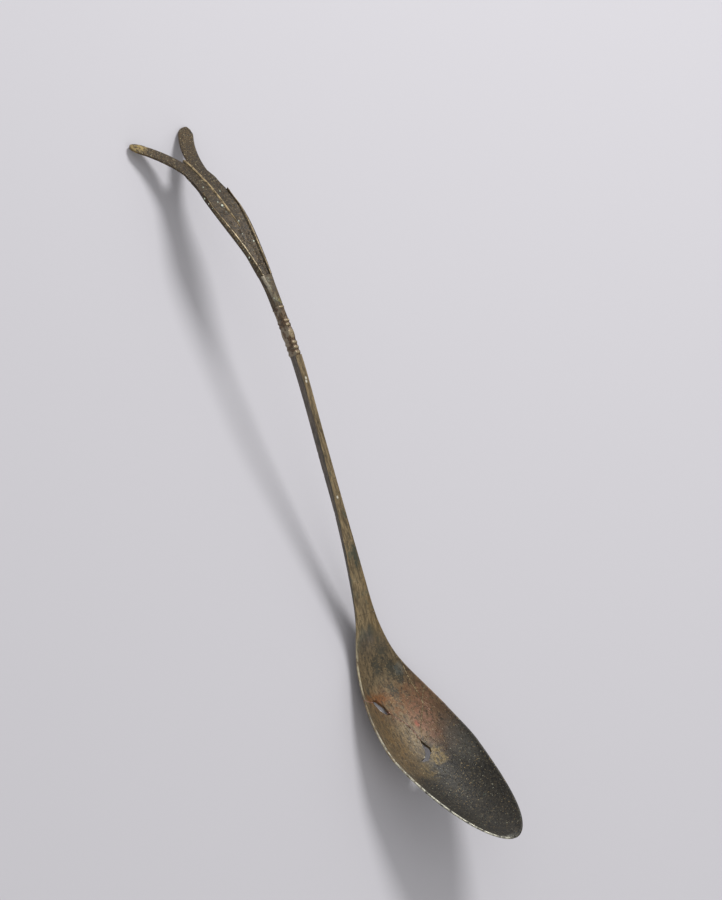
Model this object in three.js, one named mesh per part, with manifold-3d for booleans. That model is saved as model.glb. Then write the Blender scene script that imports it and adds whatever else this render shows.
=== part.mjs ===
// A slender ancient spoon: a thin leaf-shaped bowl, broken and mended, on an arched stem that ends
// in ring mouldings and a forked flower. Millimetres, +Z up. The spoon lies as it would on a table,
// on a worn spot under the bowl and on the two tips of the flower.
//
// Every piece is shaped around one spine, the line that runs from the tip of the bowl along the
// rim's middle and the top of the stem to the flower. A place on it is (x, s, n): x to the side,
// s the distance from the bowl's tip, n the height above the spine's surface.
import * as THREE from 'three';
import * as BufferGeometryUtils from 'three/addons/utils/BufferGeometryUtils.js';
import Module from 'manifold-3d';

const wasm = await Module();
wasm.setup();

// Lengths along the spine
const BOWL_LENGTH = 84;
const STEM_LENGTH = 77;
const LOWER_COLLAR_LENGTH = 4.6;
const BARREL_LENGTH = 4.0;
const UPPER_COLLAR_LENGTH = 2.6;
const THROAT_LENGTH = 3.0;
const TOP_RING_LENGTH = 1.1;
const CALYX_LENGTH = 9.8;
const SEPAL_LENGTH = 31;
const BLADE_LENGTH = 46.5;
const LOBE_REACH = 12.5;
const MIDRIB_LENGTH = 29;

// Widths from side to side
const BOWL_WIDTH = 31.7;
const NOSE_WIDTH = 21.6;
const SHOULDER_WIDTH = 28.8;
const HEEL_WIDTH = 23.2;
const THROAT_OF_BOWL_WIDTH = 12.3;
const NECK_WIDTH = 7.4;
const STEM_LOW_WIDTH = 5.2;
const STEM_MID_WIDTH = 3.0;
const STEM_WAIST_WIDTH = 2.05;
const STEM_TOP_WIDTH = 2.3;
const CALYX_TOP_WIDTH = 4.2;
const FLOWER_WIDTH = 10.8;
const BLADE_WIDTH = 8.2;
const LOBE_WIDTH = 4.1;
const LOBE_SPAN = 22.8;
const SEPAL_WIDTH = 1.25;
const MIDRIB_WIDTH = 0.7;

// Depths below the spine's surface
const BOWL_DEPTH = 7.4;
const NECK_DEPTH = 2.1;
const STEM_DEPTH = 3.3;
const CALYX_DEPTH = 2.2;
const SEPAL_DEPTH = 1.1;
const BLADE_THICKNESS = 1.0;
const WALL = 0.8;
const RIM_WIDTH = 0.95;
const RIM_ROUNDING = 0.3;

// Small relief, clearances and wear
const RING_PROUD = 0.24;
const BARREL_PROUD = 0.28;
const VALLEY = 0.4;
const RIDGE = 0.3;
const TANG_WIDTH = 1.0;
const TANG_SOCKET = 4.0;
const GAP = 0.25;
const WORN_DEPTH = 0.15;

// Lift of the spine above the rim's plane, in degrees, at stations from the tip to the flower
const TIP_LIFT = -3.4;
const NOSE_LIFT = -3.1;
const MID_BOWL_LIFT = 0.7;
const LOWER_BOWL_LIFT = 7.7;
const HEEL_LIFT = 15.9;
const BEND_LIFT = 38.1;
const NECK_LIFT = 43.1;
const STEM_LOW_LIFT = 39.6;
const STEM_MID_LIFT = 37.2;
const STEM_HIGH_LIFT = 35.9;
const COLLAR_LIFT = 29;
const CALYX_LIFT = 22.5;
const FLOWER_LIFT = 5.6;
const FORK_LIFT = -8;
const LOBE_LIFT = -8;

// The two lobes differ: how far each tip lies past the fork and above the spine's surface
const LOBES = [
  { side: -1, reach: LOBE_REACH - 0.7, rise: 0.1 },
  { side: 1, reach: LOBE_REACH + 1.3, rise: 1.0 },
];

// Mesh density
const BOWL_ROWS = 44;
const ROW_CROWDING = 1.6;
const SHEET_COLUMNS = 18;
const STEM_STEP = 2.6;
const FLOWER_STEP = 2.0;
const RING_POINTS = 16;

// Places along the spine, each piece after the one before it
const NECK = BOWL_LENGTH;
const STEM_END = NECK + STEM_LENGTH;
const LOWER_COLLAR_END = STEM_END + LOWER_COLLAR_LENGTH;
const BARREL_END = LOWER_COLLAR_END + BARREL_LENGTH;
const UPPER_COLLAR_END = BARREL_END + UPPER_COLLAR_LENGTH;
const THROAT_END = UPPER_COLLAR_END + THROAT_LENGTH;
const TOP_RING_END = THROAT_END + TOP_RING_LENGTH;
const CALYX_END = TOP_RING_END + CALYX_LENGTH;
const SEPAL_TIP = CALYX_END + SEPAL_LENGTH;
const FORK = CALYX_END + BLADE_LENGTH;
const SPINE_END = FORK + 2 * LOBE_REACH;

const smoothStep = THREE.MathUtils.smoothstep;
const radians = THREE.MathUtils.degToRad;

// A smooth curve through stations [place, value]
function smoothThrough(stations) {
  const last = stations.length - 1;
  const slopes = stations.map((station, i) => {
    const before = stations[Math.max(i - 1, 0)];
    const after = stations[Math.min(i + 1, last)];
    return (after[1] - before[1]) / (after[0] - before[0]);
  });
  return (place) => {
    if (place <= stations[0][0]) return stations[0][1];
    if (place >= stations[last][0]) return stations[last][1];
    const i = stations.findIndex((station) => station[0] > place) - 1;
    const [from, a] = stations[i];
    const [to, b] = stations[i + 1];
    const span = to - from;
    const t = (place - from) / span;
    const rise = t * t * (3 - 2 * t);
    const leave = t * (1 - t) * (1 - t) * span * slopes[i];
    const arrive = t * t * (t - 1) * span * slopes[i + 1];
    return a + (b - a) * rise + leave + arrive;
  };
}

// The same curve on the square root of the distance, which rounds the bowl's tip
function roundedThrough(stations) {
  const curve = smoothThrough(stations.map(([place, value]) => [Math.sqrt(place), value]));
  return (place) => curve(Math.sqrt(Math.max(place, 0)));
}

const liftAt = smoothThrough([
  [0, TIP_LIFT],
  [0.214 * NECK, NOSE_LIFT],
  [0.43 * NECK, MID_BOWL_LIFT],
  [0.62 * NECK, LOWER_BOWL_LIFT],
  [0.785 * NECK, HEEL_LIFT],
  [0.905 * NECK, BEND_LIFT],
  [NECK, NECK_LIFT],
  [NECK + 0.21 * STEM_LENGTH, STEM_LOW_LIFT],
  [NECK + 0.53 * STEM_LENGTH, STEM_MID_LIFT],
  [NECK + 0.86 * STEM_LENGTH, STEM_HIGH_LIFT],
  [BARREL_END, COLLAR_LIFT],
  [CALYX_END - 0.4 * CALYX_LENGTH, CALYX_LIFT],
  [CALYX_END + 0.55 * BLADE_LENGTH, FLOWER_LIFT],
  [FORK, FORK_LIFT],
  [SPINE_END, LOBE_LIFT],
]);

// The spine as a table of points, summed up from its lift
function traceSpine(step) {
  const points = [new THREE.Vector2(0, 0)];
  for (let s = step / 2; s < SPINE_END; s += step) {
    const lift = radians(liftAt(s));
    const reached = points[points.length - 1];
    points.push(new THREE.Vector2(reached.x + step * Math.cos(lift), reached.y + step * Math.sin(lift)));
  }
  return points;
}

const SPINE_STEP = 0.5;
const spine = traceSpine(SPINE_STEP);

// The point (x, s, n) of the spine's frame in the spoon's own frame: Y runs to the flower
function onSpine(x, s, n) {
  const i = THREE.MathUtils.clamp(Math.floor(s / SPINE_STEP), 0, spine.length - 2);
  const base = spine[i].clone().lerp(spine[i + 1], s / SPINE_STEP - i);
  const lift = radians(liftAt(s));
  return new THREE.Vector3(x, base.x - n * Math.sin(lift), base.y + n * Math.cos(lift));
}

// Half the width of bowl and stem
const halfWidthAt = roundedThrough([
  [0, 0],
  [0.143 * NECK, NOSE_WIDTH / 2],
  [0.44 * NECK, BOWL_WIDTH / 2],
  [0.595 * NECK, SHOULDER_WIDTH / 2],
  [0.714 * NECK, HEEL_WIDTH / 2],
  [0.893 * NECK, THROAT_OF_BOWL_WIDTH / 2],
  [NECK, NECK_WIDTH / 2],
  [NECK + 0.143 * STEM_LENGTH, STEM_LOW_WIDTH / 2],
  [NECK + 0.40 * STEM_LENGTH, STEM_MID_WIDTH / 2],
  [NECK + 0.73 * STEM_LENGTH, STEM_WAIST_WIDTH / 2],
  [STEM_END, STEM_TOP_WIDTH / 2],
]);

// How far the underside lies below the spine's surface, along the middle
const outerDepthAt = smoothThrough([
  [0, 0],
  [0.05 * NECK, 0.31 * BOWL_DEPTH],
  [0.143 * NECK, 0.65 * BOWL_DEPTH],
  [0.262 * NECK, 0.9 * BOWL_DEPTH],
  [0.42 * NECK, BOWL_DEPTH],
  [0.57 * NECK, 0.94 * BOWL_DEPTH],
  [0.714 * NECK, 0.72 * BOWL_DEPTH],
  [0.845 * NECK, 0.43 * BOWL_DEPTH],
  [0.93 * NECK, 0.5 * NECK_DEPTH + 0.15 * BOWL_DEPTH],
  [NECK, NECK_DEPTH],
  [NECK + 0.2 * STEM_LENGTH, 0.5 * NECK_DEPTH + 0.3 * STEM_DEPTH],
  [NECK + 0.4 * STEM_LENGTH, 0.2 * NECK_DEPTH + 0.6 * STEM_DEPTH],
  [NECK + 0.6 * STEM_LENGTH, 0.93 * STEM_DEPTH],
  [STEM_END, STEM_DEPTH],
]);

// The bowl's hollow, which runs out flat at the neck
function innerDepthAt(s) {
  const open = 1 - smoothStep(s, 0.78 * NECK, NECK);
  return Math.max((outerDepthAt(s) - WALL) * open, 0);
}

// Sections go from round under the bowl to square along the stem
function squarenessAt(s) {
  return 2 + 5 * smoothStep(s, 0.82 * NECK, NECK + 0.25 * STEM_LENGTH);
}

// Shares from -1 to 1, closer together at the edges
function shares(columns) {
  return Array.from({ length: columns + 1 }, (_, i) => Math.sin(Math.PI * (i / columns - 0.5)));
}

// A solid through a row of closed loops with as many points each. The second half of a loop goes
// back under the first, so that point i is paired with point i from the end in the end faces.
function loft(loops) {
  const count = loops[0].length;
  const positions = loops.flat().flatMap((point) => [point.x, point.y, point.z]);
  const faces = [];
  const quad = (a, b, c, d) => faces.push(a, b, c, a, c, d);
  for (let row = 0; row < loops.length - 1; row += 1) {
    for (let i = 0; i < count; i += 1) {
      const next = (i + 1) % count;
      quad(row * count + i, row * count + next, (row + 1) * count + next, (row + 1) * count + i);
    }
  }
  const end = (loops.length - 1) * count;
  for (let i = 0; i < count / 2 - 1; i += 1) {
    quad(i, count - 1 - i, count - 2 - i, i + 1);
    quad(end + i, end + i + 1, end + count - 2 - i, end + count - 1 - i);
  }
  const geometry = new THREE.BufferGeometry();
  geometry.setAttribute('position', new THREE.Float32BufferAttribute(positions, 3));
  geometry.setIndex(faces);
  return solidOf(geometry);
}

// A closed geometry as a solid that can be joined and cut, its faces pointing out
function solidOf(geometry) {
  geometry.deleteAttribute('normal');
  geometry.deleteAttribute('uv');
  const merged = BufferGeometryUtils.mergeVertices(geometry, 1e-4);
  const vertices = merged.getAttribute('position').array;
  const index = merged.getIndex().array;
  const corner = (i) => new THREE.Vector3().fromArray(vertices, 3 * i);
  const triangles = [];
  let volume = 0;
  for (let i = 0; i < index.length; i += 3) {
    const [a, b, c] = index.slice(i, i + 3);
    if (a === b || b === c || c === a) continue;
    triangles.push([a, b, c]);
    volume += corner(a).dot(corner(b).cross(corner(c)));
  }
  const outward = volume > 0 ? triangles : triangles.map(([a, b, c]) => [a, c, b]);
  return new wasm.Manifold(new wasm.Mesh({
    numProp: 3,
    vertProperties: Float32Array.from(vertices),
    triVerts: Uint32Array.from(outward.flat()),
  }));
}

// The bowl: an outer and an inner skin that meet in a rounded rim
function makeBowl() {
  const loops = [];
  for (let row = 0; row <= BOWL_ROWS; row += 1) {
    const s = NECK * (row / BOWL_ROWS) ** ROW_CROWDING;
    loops.push(bowlLoop(s, row === 0));
  }
  return loft(loops);
}

function bowlLoop(s, atTip) {
  const reach = 0.01;
  const widening = (halfWidthAt(s + reach) - halfWidthAt(s)) / reach;
  const slant = Math.hypot(1, widening);
  const inset = (share) => ({
    half: atTip ? 0 : Math.max(halfWidthAt(s) - (share * RIM_WIDTH) / slant, 0),
    s: Math.min(s + (share * RIM_WIDTH * Math.max(widening, 0)) / slant, NECK),
  });
  const fade = 1 - smoothStep(s, 0.8 * NECK, NECK);
  const edge = RIM_ROUNDING * fade;
  const inner = inset(1);
  const crest = inset(0.5);
  const hollow = Math.max(innerDepthAt(inner.s), edge);
  const depth = Math.max(outerDepthAt(s), edge);
  const power = squarenessAt(s);
  const columns = shares(SHEET_COLUMNS);
  const innerSheet = columns.map((share) => {
    return onSpine(share * inner.half, inner.s, -edge - (hollow - edge) * (1 - share * share));
  });
  const outerSheet = columns.map((share) => {
    return onSpine(share * (atTip ? 0 : halfWidthAt(s)), s, -edge - (depth - edge) * (1 - Math.abs(share) ** power));
  });
  return [
    onSpine(-crest.half, crest.s, 0),
    ...innerSheet,
    onSpine(crest.half, crest.s, 0),
    onSpine(crest.half, crest.s, -0.001),
    ...outerSheet.reverse(),
    onSpine(-crest.half, crest.s, -0.001),
  ];
}

// The fracture lines in plan, as shares of half the bowl's width and of its length. The first runs
// from the left rim along the open slit and the crack to the hole, the second from there up to the
// right rim, and the third frees the small piece at that rim.
const FRACTURE_LEFT = [
  [-1.02, 0.712], [-0.73, 0.707], [-0.41, 0.714], [-0.22, 0.705], [-0.095, 0.679],
  [0.013, 0.649], [0.13, 0.626], [0.19, 0.594], [0.208, 0.55],
];
const FRACTURE_RIGHT = [
  [0.265, 0.561], [0.341, 0.592], [0.435, 0.617], [0.57, 0.655],
];
const FRACTURE_EDGE = [
  [0.575, 0.685], [0.549, 0.719], [0.524, 0.756], [0.505, 0.805], [0.545, 0.83],
];
const FRACTURE_SHORT = [
  [0.87, 0.704], [0.757, 0.7], [0.69, 0.697], [0.631, 0.683],
];
const SLIT = [[-0.42, 0.716], [-0.33, 0.692], [-0.2, 0.674], [-0.09, 0.67], [-0.15, 0.7], [-0.3, 0.72]];
const HOLE = [
  [0.2, 0.556], [0.245, 0.525], [0.28, 0.509], [0.26, 0.494], [0.19, 0.482], [0.1, 0.466],
  [-0.03, 0.465], [-0.05, 0.475], [0.06, 0.481], [0.13, 0.495], [0.165, 0.517],
];

function planOf(outline) {
  return outline.map(([side, along]) => new THREE.Vector2(side * BOWL_WIDTH / 2, along * BOWL_LENGTH));
}

// An outline moved out by a distance all round
function grow(points, distance) {
  const turn = THREE.ShapeUtils.isClockWise(points) ? -1 : 1;
  return points.map((point, i) => {
    const before = points[(i + points.length - 1) % points.length];
    const after = points[(i + 1) % points.length];
    const arriving = point.clone().sub(before).normalize();
    const leaving = after.clone().sub(point).normalize();
    const out = new THREE.Vector2(arriving.y + leaving.y, -arriving.x - leaving.x).normalize();
    const opening = Math.max(out.x * leaving.y - out.y * leaving.x, 0.5);
    return point.clone().addScaledVector(out, (turn * distance) / opening);
  });
}

// An upright block through the bowl with the given outline in plan
function cutterOf(points) {
  const height = 4 * BOWL_DEPTH + 2 * BOWL_LENGTH;
  const geometry = new THREE.ExtrudeGeometry(new THREE.Shape(points), { depth: height, bevelEnabled: false });
  geometry.translate(0, 0, -height / 2);
  return solidOf(geometry);
}

// The three pieces that the fractures leave of the bowl
function breakBowl(bowl) {
  const beyond = 1.3;
  const neckSide = [[beyond, 0.84], [beyond, 1.2], [-beyond, 1.2], [-beyond, 0.712]];
  const rimSide = [[beyond, 0.83], [beyond, 0.704]];
  const backOutline = planOf([...FRACTURE_LEFT, ...FRACTURE_RIGHT, ...FRACTURE_EDGE, ...neckSide]);
  const junction = FRACTURE_RIGHT[FRACTURE_RIGHT.length - 1];
  const edgeOutline = planOf([junction, ...FRACTURE_EDGE, ...rimSide, ...FRACTURE_SHORT]);
  const back = bowl.intersect(cutterOf(backOutline));
  const edge = bowl.intersect(cutterOf(edgeOutline)).subtract(cutterOf(grow(backOutline, GAP)));
  const front = bowl
    .subtract(cutterOf(grow(backOutline, GAP)))
    .subtract(cutterOf(grow(edgeOutline, GAP)))
    .subtract(cutterOf(planOf(SLIT)))
    .subtract(cutterOf(planOf(HOLE)));
  return { front, back, edge };
}

// The stem: flat on top, square at the sides, with the same section as the bowl's neck at its foot
function makeStem() {
  const from = NECK + GAP;
  const steps = Math.ceil((STEM_END - from) / STEM_STEP);
  const columns = shares(SHEET_COLUMNS / 2);
  const loops = [];
  for (let i = 0; i <= steps; i += 1) {
    const s = from + ((STEM_END - from) * i) / steps;
    const half = halfWidthAt(s);
    const power = squarenessAt(s);
    const crown = 0.05 * half;
    const depth = outerDepthAt(s);
    loops.push([
      ...columns.map((share) => onSpine(share * half, s, -crown * share * share)),
      ...columns.map((share) => {
        return onSpine(-share * half, s, -0.2 * depth - 0.8 * depth * (1 - Math.abs(share) ** power));
      }),
    ]);
  }
  return loft(loops).subtract(tangBar(STEM_END - TANG_SOCKET, STEM_END + 1, GAP));
}

// One squarish loop around the core of stem, collars and calyx, proud of the stem by a distance
function barLoop(s, half, depth, proud) {
  const points = [];
  const centre = -depth / 2;
  for (let i = 0; i < RING_POINTS; i += 1) {
    const angle = Math.PI - ((i + 0.5) * 2 * Math.PI) / RING_POINTS;
    const square = (value) => Math.sign(value) * Math.sqrt(Math.abs(value));
    const x = square(Math.cos(angle)) * (half + proud);
    const n = centre + square(Math.sin(angle)) * (depth / 2 + proud);
    points.push(onSpine(x, s, n));
  }
  return points;
}

// The hidden tang that threads the collars, or with a clearance the hole that it needs
function tangBar(from, to, clearance) {
  const steps = Math.max(2, Math.ceil((to - from) / STEM_STEP));
  const loops = [];
  for (let i = 0; i <= steps; i += 1) {
    const s = from + ((to - from) * i) / steps;
    const half = TANG_WIDTH / 2 + clearance;
    const core = onSpineDepth(s);
    loops.push(coreLoop(s, half, core));
  }
  return loft(loops);
}

function onSpineDepth(s) {
  return s > TOP_RING_END ? calyxDepthAt(s) : outerDepthAt(s);
}

function coreLoop(s, half, depth) {
  const centre = -depth / 2;
  return [
    onSpine(-half, s, centre + half),
    onSpine(half, s, centre + half),
    onSpine(half, s, centre - half),
    onSpine(-half, s, centre - half),
  ];
}

// A collar piece: sections proud of the stem by a profile of [share of its length, height]
function makeCollar(from, to, profile) {
  const start = from + GAP;
  const loops = profile.map(([share, proud]) => {
    const s = start + share * (to - start);
    return barLoop(s, halfWidthAt(s), outerDepthAt(s), proud);
  });
  return loft(loops).subtract(tangBar(from - 1, to + 1, GAP));
}

// Rings side by side, each a half-round bead with a narrow valley between
function ringProfile(rings) {
  const profile = [[0, 0]];
  const beads = [[0.12, 0.7], [0.3, 1], [0.7, 1], [0.88, 0.7]];
  for (let ring = 0; ring < rings; ring += 1) {
    beads.forEach(([share, height]) => profile.push([(ring + share) / rings, height * RING_PROUD]));
    profile.push([(ring + 1) / rings, 0]);
  }
  return profile;
}

// The barrel swells in a smooth arc
function barrelProfile() {
  const steps = 8;
  return Array.from({ length: steps + 1 }, (_, i) => [i / steps, BARREL_PROUD * Math.sin((Math.PI * i) / steps)]);
}

const calyxHalfAt = smoothThrough([
  [TOP_RING_END, STEM_TOP_WIDTH / 2 + 0.1],
  [TOP_RING_END + 0.6 * CALYX_LENGTH, 0.4 * STEM_TOP_WIDTH + 0.17 * CALYX_TOP_WIDTH],
  [CALYX_END, CALYX_TOP_WIDTH / 2],
]);
const calyxDepthAt = smoothThrough([
  [TOP_RING_END, STEM_DEPTH],
  [CALYX_END, CALYX_DEPTH],
]);

// The calyx: the cup below the flower, with a blind hole for the tang
function makeCalyx() {
  const start = TOP_RING_END + GAP;
  const steps = 6;
  const loops = [];
  for (let i = 0; i <= steps; i += 1) {
    const s = start + ((CALYX_END - start) * i) / steps;
    loops.push(barLoop(s, calyxHalfAt(s), calyxDepthAt(s), 0));
  }
  return loft(loops).subtract(tangBar(TOP_RING_END - 1, TOP_RING_END + TANG_SOCKET, GAP));
}

// Half the width of the whole flower, and of the space that its sepals leave for the blade
const FLOWER_START = CALYX_END + GAP;
const flowerHalfAt = smoothThrough([
  [FLOWER_START, CALYX_TOP_WIDTH / 2],
  [CALYX_END + 0.29 * SEPAL_LENGTH, 0.64 * FLOWER_WIDTH / 2],
  [CALYX_END + 0.58 * SEPAL_LENGTH, 0.9 * FLOWER_WIDTH / 2],
  [CALYX_END + 0.8 * SEPAL_LENGTH, FLOWER_WIDTH / 2],
  [SEPAL_TIP, 0.98 * FLOWER_WIDTH / 2],
]);

function sepalWidthAt(s) {
  const along = (s - FLOWER_START) / (SEPAL_TIP - FLOWER_START);
  return SEPAL_WIDTH * (0.8 + 0.5 * Math.sin(Math.PI * Math.min(along, 1))) * (1 - along ** 5) + 0.12;
}

// A sepal: a tapering strip with a raised inner edge and a free tip that stands off the blade
function makeSepal(side) {
  const steps = Math.round(SEPAL_LENGTH / FLOWER_STEP);
  const loops = [];
  for (let i = 0; i <= steps; i += 1) {
    const along = i / steps;
    const s = FLOWER_START + (SEPAL_TIP - FLOWER_START) * along;
    const outer = flowerHalfAt(s);
    const width = sepalWidthAt(s);
    const lift = 0.7 * smoothStep(along, 0.8, 1);
    const depth = THREE.MathUtils.lerp(CALYX_DEPTH, SEPAL_DEPTH, smoothStep(along, 0, 0.4)) * (1 - 0.4 * along ** 3);
    const point = (share, n) => onSpine(side * (outer - share * width), s, n + lift);
    loops.push([
      point(0, -0.35),
      point(0.45, 0),
      point(0.8, RIDGE),
      point(1, 0.5 * RIDGE),
      point(1, -depth),
      point(0.8, -depth - 0.02),
      point(0.45, -depth),
      point(0, 0.3 - depth),
    ]);
  }
  return loft(loops);
}

// Half the width of the blade: between the sepals, then free up to the fork
const bladeFreeHalfAt = smoothThrough([
  [SEPAL_TIP, BLADE_WIDTH / 2],
  [FORK - 0.12 * BLADE_LENGTH, BLADE_WIDTH / 2],
  [FORK, BLADE_WIDTH / 2 + 0.5],
]);

function bladeHalfAt(s) {
  if (s >= SEPAL_TIP) return bladeFreeHalfAt(s);
  const between = flowerHalfAt(s) - sepalWidthAt(s) - GAP;
  return Math.min(between, BLADE_WIDTH / 2);
}

function bladeDepthAt(s) {
  return THREE.MathUtils.lerp(CALYX_DEPTH - 0.4, VALLEY + BLADE_THICKNESS, smoothStep(s, CALYX_END, SEPAL_TIP));
}

// The blade: one strip, hollowed a little on each side of its middle, that forks into two lobes
function makeBlade() {
  const crotch = FORK - LOBE_WIDTH / 3;
  const steps = Math.round((crotch - FLOWER_START) / FLOWER_STEP);
  const columns = [-1, -0.8, -0.4, 0, 0.4, 0.8, 1];
  const loops = [];
  for (let i = 0; i <= steps; i += 1) {
    const s = FLOWER_START + ((crotch - FLOWER_START) * i) / steps;
    const half = bladeHalfAt(s);
    const depth = bladeDepthAt(s);
    loops.push([
      ...columns.map((share) => onSpine(share * half, s, -VALLEY + 0.15 * (2 * Math.abs(share) - 1) ** 2)),
      ...columns.map((share) => onSpine(-share * half, s, -depth + 0.2 * share * share)),
    ]);
  }
  return LOBES.reduce((blade, lobe) => blade.add(makeLobe(lobe)), loft(loops));
}

// A lobe: it leaves the blade straight, bends out to its side and ends round
function makeLobe({ side, reach, rise }) {
  const tip = LOBE_SPAN / 2;
  const path = new THREE.QuadraticBezierCurve(
    new THREE.Vector2(side * (LOBE_WIDTH / 2 + 0.1), FORK - 1.4 * LOBE_WIDTH),
    new THREE.Vector2(side * 0.27 * tip, FORK + 0.2 * reach),
    new THREE.Vector2(side * tip, FORK + reach),
  );
  const steps = 12;
  const round = 0.86;
  const loops = [];
  for (let i = 0; i <= steps; i += 1) {
    const along = i < steps - 3 ? (round * i) / (steps - 3) : round + (1 - round) * Math.sin((Math.PI / 6) * (i - steps + 3));
    const centre = path.getPoint(along);
    const across = path.getTangent(along).rotateAround(new THREE.Vector2(), -Math.PI / 2);
    const entry = smoothStep(along, 0, 0.35);
    const taper = (0.76 + 0.24 * entry) * (1 - 0.12 * along);
    const sunk = 0.12 * (1 - entry);
    const end = Math.max(0, (along - round) / (1 - round));
    const half = Math.max((LOBE_WIDTH / 2) * taper * Math.sqrt(1 - end * end), 0.15);
    const lift = rise * along * along;
    const point = (share, n) => {
      const place = centre.clone().addScaledVector(across, share * half);
      return onSpine(place.x, place.y, n + lift);
    };
    const top = 0.05 - VALLEY - sunk;
    const under = sunk - VALLEY - BLADE_THICKNESS;
    loops.push([
      point(-1, top - 0.15), point(-0.6, top), point(0.6, top), point(1, top - 0.15),
      point(1, under + 0.25), point(0.6, under), point(-0.6, under), point(-1, under + 0.25),
    ]);
  }
  return loft(loops);
}

// The midrib: a fine raised line down the middle of the blade, up to the fork
function makeMidrib() {
  const steps = Math.round(MIDRIB_LENGTH / FLOWER_STEP);
  const end = FORK - 0.5;
  const foot = GAP + 0.15 - VALLEY;
  const loops = [];
  for (let i = 0; i <= steps; i += 1) {
    const along = i / steps;
    const s = end - MIDRIB_LENGTH * (1 - along);
    const half = (MIDRIB_WIDTH / 2) * Math.max(smoothStep(along, 0, 0.25), 0.3);
    loops.push([
      onSpine(-half, s, foot + 0.15), onSpine(0, s, foot + 0.4), onSpine(half, s, foot + 0.15),
      onSpine(half, s, foot), onSpine(0, s, foot - 0.01), onSpine(-half, s, foot),
    ]);
  }
  return loft(loops);
}

// Metal finishes, from a dull tan neck to a blackened bowl end
const metal = (color, roughness) => new THREE.MeshStandardMaterial({ color, roughness, metalness: 0.75 });
const finishes = {
  blackened: metal(0x45433c, 0.55),
  tan: metal(0x83745a, 0.6),
  mended: metal(0x8d6a55, 0.65),
  stem: metal(0x7b6c50, 0.55),
  bright: metal(0x9a8c72, 0.4),
  flower: metal(0x6e6046, 0.6),
  ridge: metal(0xa89a7a, 0.4),
};

function meshOf(name, solid, material) {
  const { vertProperties, triVerts } = solid.getMesh();
  const geometry = new THREE.BufferGeometry();
  geometry.setAttribute('position', new THREE.BufferAttribute(vertProperties, 3));
  geometry.setIndex(new THREE.BufferAttribute(triVerts, 1));
  geometry.computeVertexNormals();
  const mesh = new THREE.Mesh(geometry, material);
  mesh.name = name;
  return mesh;
}

// The height of the lowest point of a solid when the spoon is pitched back by an angle
function lowest(solid, pitch) {
  const { vertProperties } = solid.getMesh();
  let low = Infinity;
  for (let i = 0; i < vertProperties.length; i += 3) {
    low = Math.min(low, vertProperties[i + 2] * Math.cos(pitch) - vertProperties[i + 1] * Math.sin(pitch));
  }
  return low;
}

// The pitch at which the bowl and the tips of the flower touch the table together
function restingPitch(bowl, flower) {
  let shallow = radians(2);
  let steep = radians(60);
  for (let i = 0; i < 40; i += 1) {
    const pitch = (shallow + steep) / 2;
    if (lowest(bowl, pitch) < lowest(flower, pitch)) shallow = pitch;
    else steep = pitch;
  }
  return (shallow + steep) / 2;
}

// Everything below the table, in the spoon's own frame
function tableBlock(pitch, height) {
  const span = 4 * SPINE_END;
  const geometry = new THREE.BoxGeometry(span, span, span);
  geometry.translate(0, 0, height - span / 2);
  geometry.rotateX(pitch);
  return solidOf(geometry);
}

const bowlPieces = breakBowl(makeBowl());
const blade = makeBlade();
const pitch = restingPitch(bowlPieces.back.add(bowlPieces.front), blade);
const tableHeight = lowest(blade, pitch) + WORN_DEPTH;
const table = tableBlock(pitch, tableHeight);
const onTable = (solid) => solid.subtract(table);

const spoon = new THREE.Group();
spoon.add(
  meshOf('bowl_front', onTable(bowlPieces.front), finishes.blackened),
  meshOf('bowl_back', onTable(bowlPieces.back), finishes.tan),
  meshOf('bowl_edge_piece', bowlPieces.edge, finishes.mended),
  meshOf('stem', makeStem(), finishes.stem),
  meshOf('tang', tangBar(STEM_END - TANG_SOCKET + GAP, TOP_RING_END + TANG_SOCKET - GAP, 0), finishes.stem),
  meshOf('lower_collar', makeCollar(STEM_END, LOWER_COLLAR_END, ringProfile(3)), finishes.bright),
  meshOf('barrel', makeCollar(LOWER_COLLAR_END, BARREL_END, barrelProfile()), finishes.bright),
  meshOf('upper_collar', makeCollar(BARREL_END, UPPER_COLLAR_END, ringProfile(2)), finishes.bright),
  meshOf('throat', makeCollar(UPPER_COLLAR_END, THROAT_END, [[0, 0], [1, 0]]), finishes.stem),
  meshOf('top_ring', makeCollar(THROAT_END, TOP_RING_END, ringProfile(1)), finishes.bright),
  meshOf('calyx', makeCalyx(), finishes.flower),
  meshOf('sepal_left', makeSepal(-1), finishes.ridge),
  meshOf('sepal_right', makeSepal(1), finishes.ridge),
  meshOf('blade', onTable(blade), finishes.flower),
  meshOf('midrib', makeMidrib(), finishes.ridge),
);
spoon.rotation.x = -pitch;

const lying = new THREE.Group();
lying.add(spoon);
const box = new THREE.Box3().setFromObject(lying, true);
const middle = box.getCenter(new THREE.Vector3());
spoon.position.set(-middle.x, -middle.y, -tableHeight);

export default lying;
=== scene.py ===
import math

import bmesh
import bpy
import numpy as np
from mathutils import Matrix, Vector, noise


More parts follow.
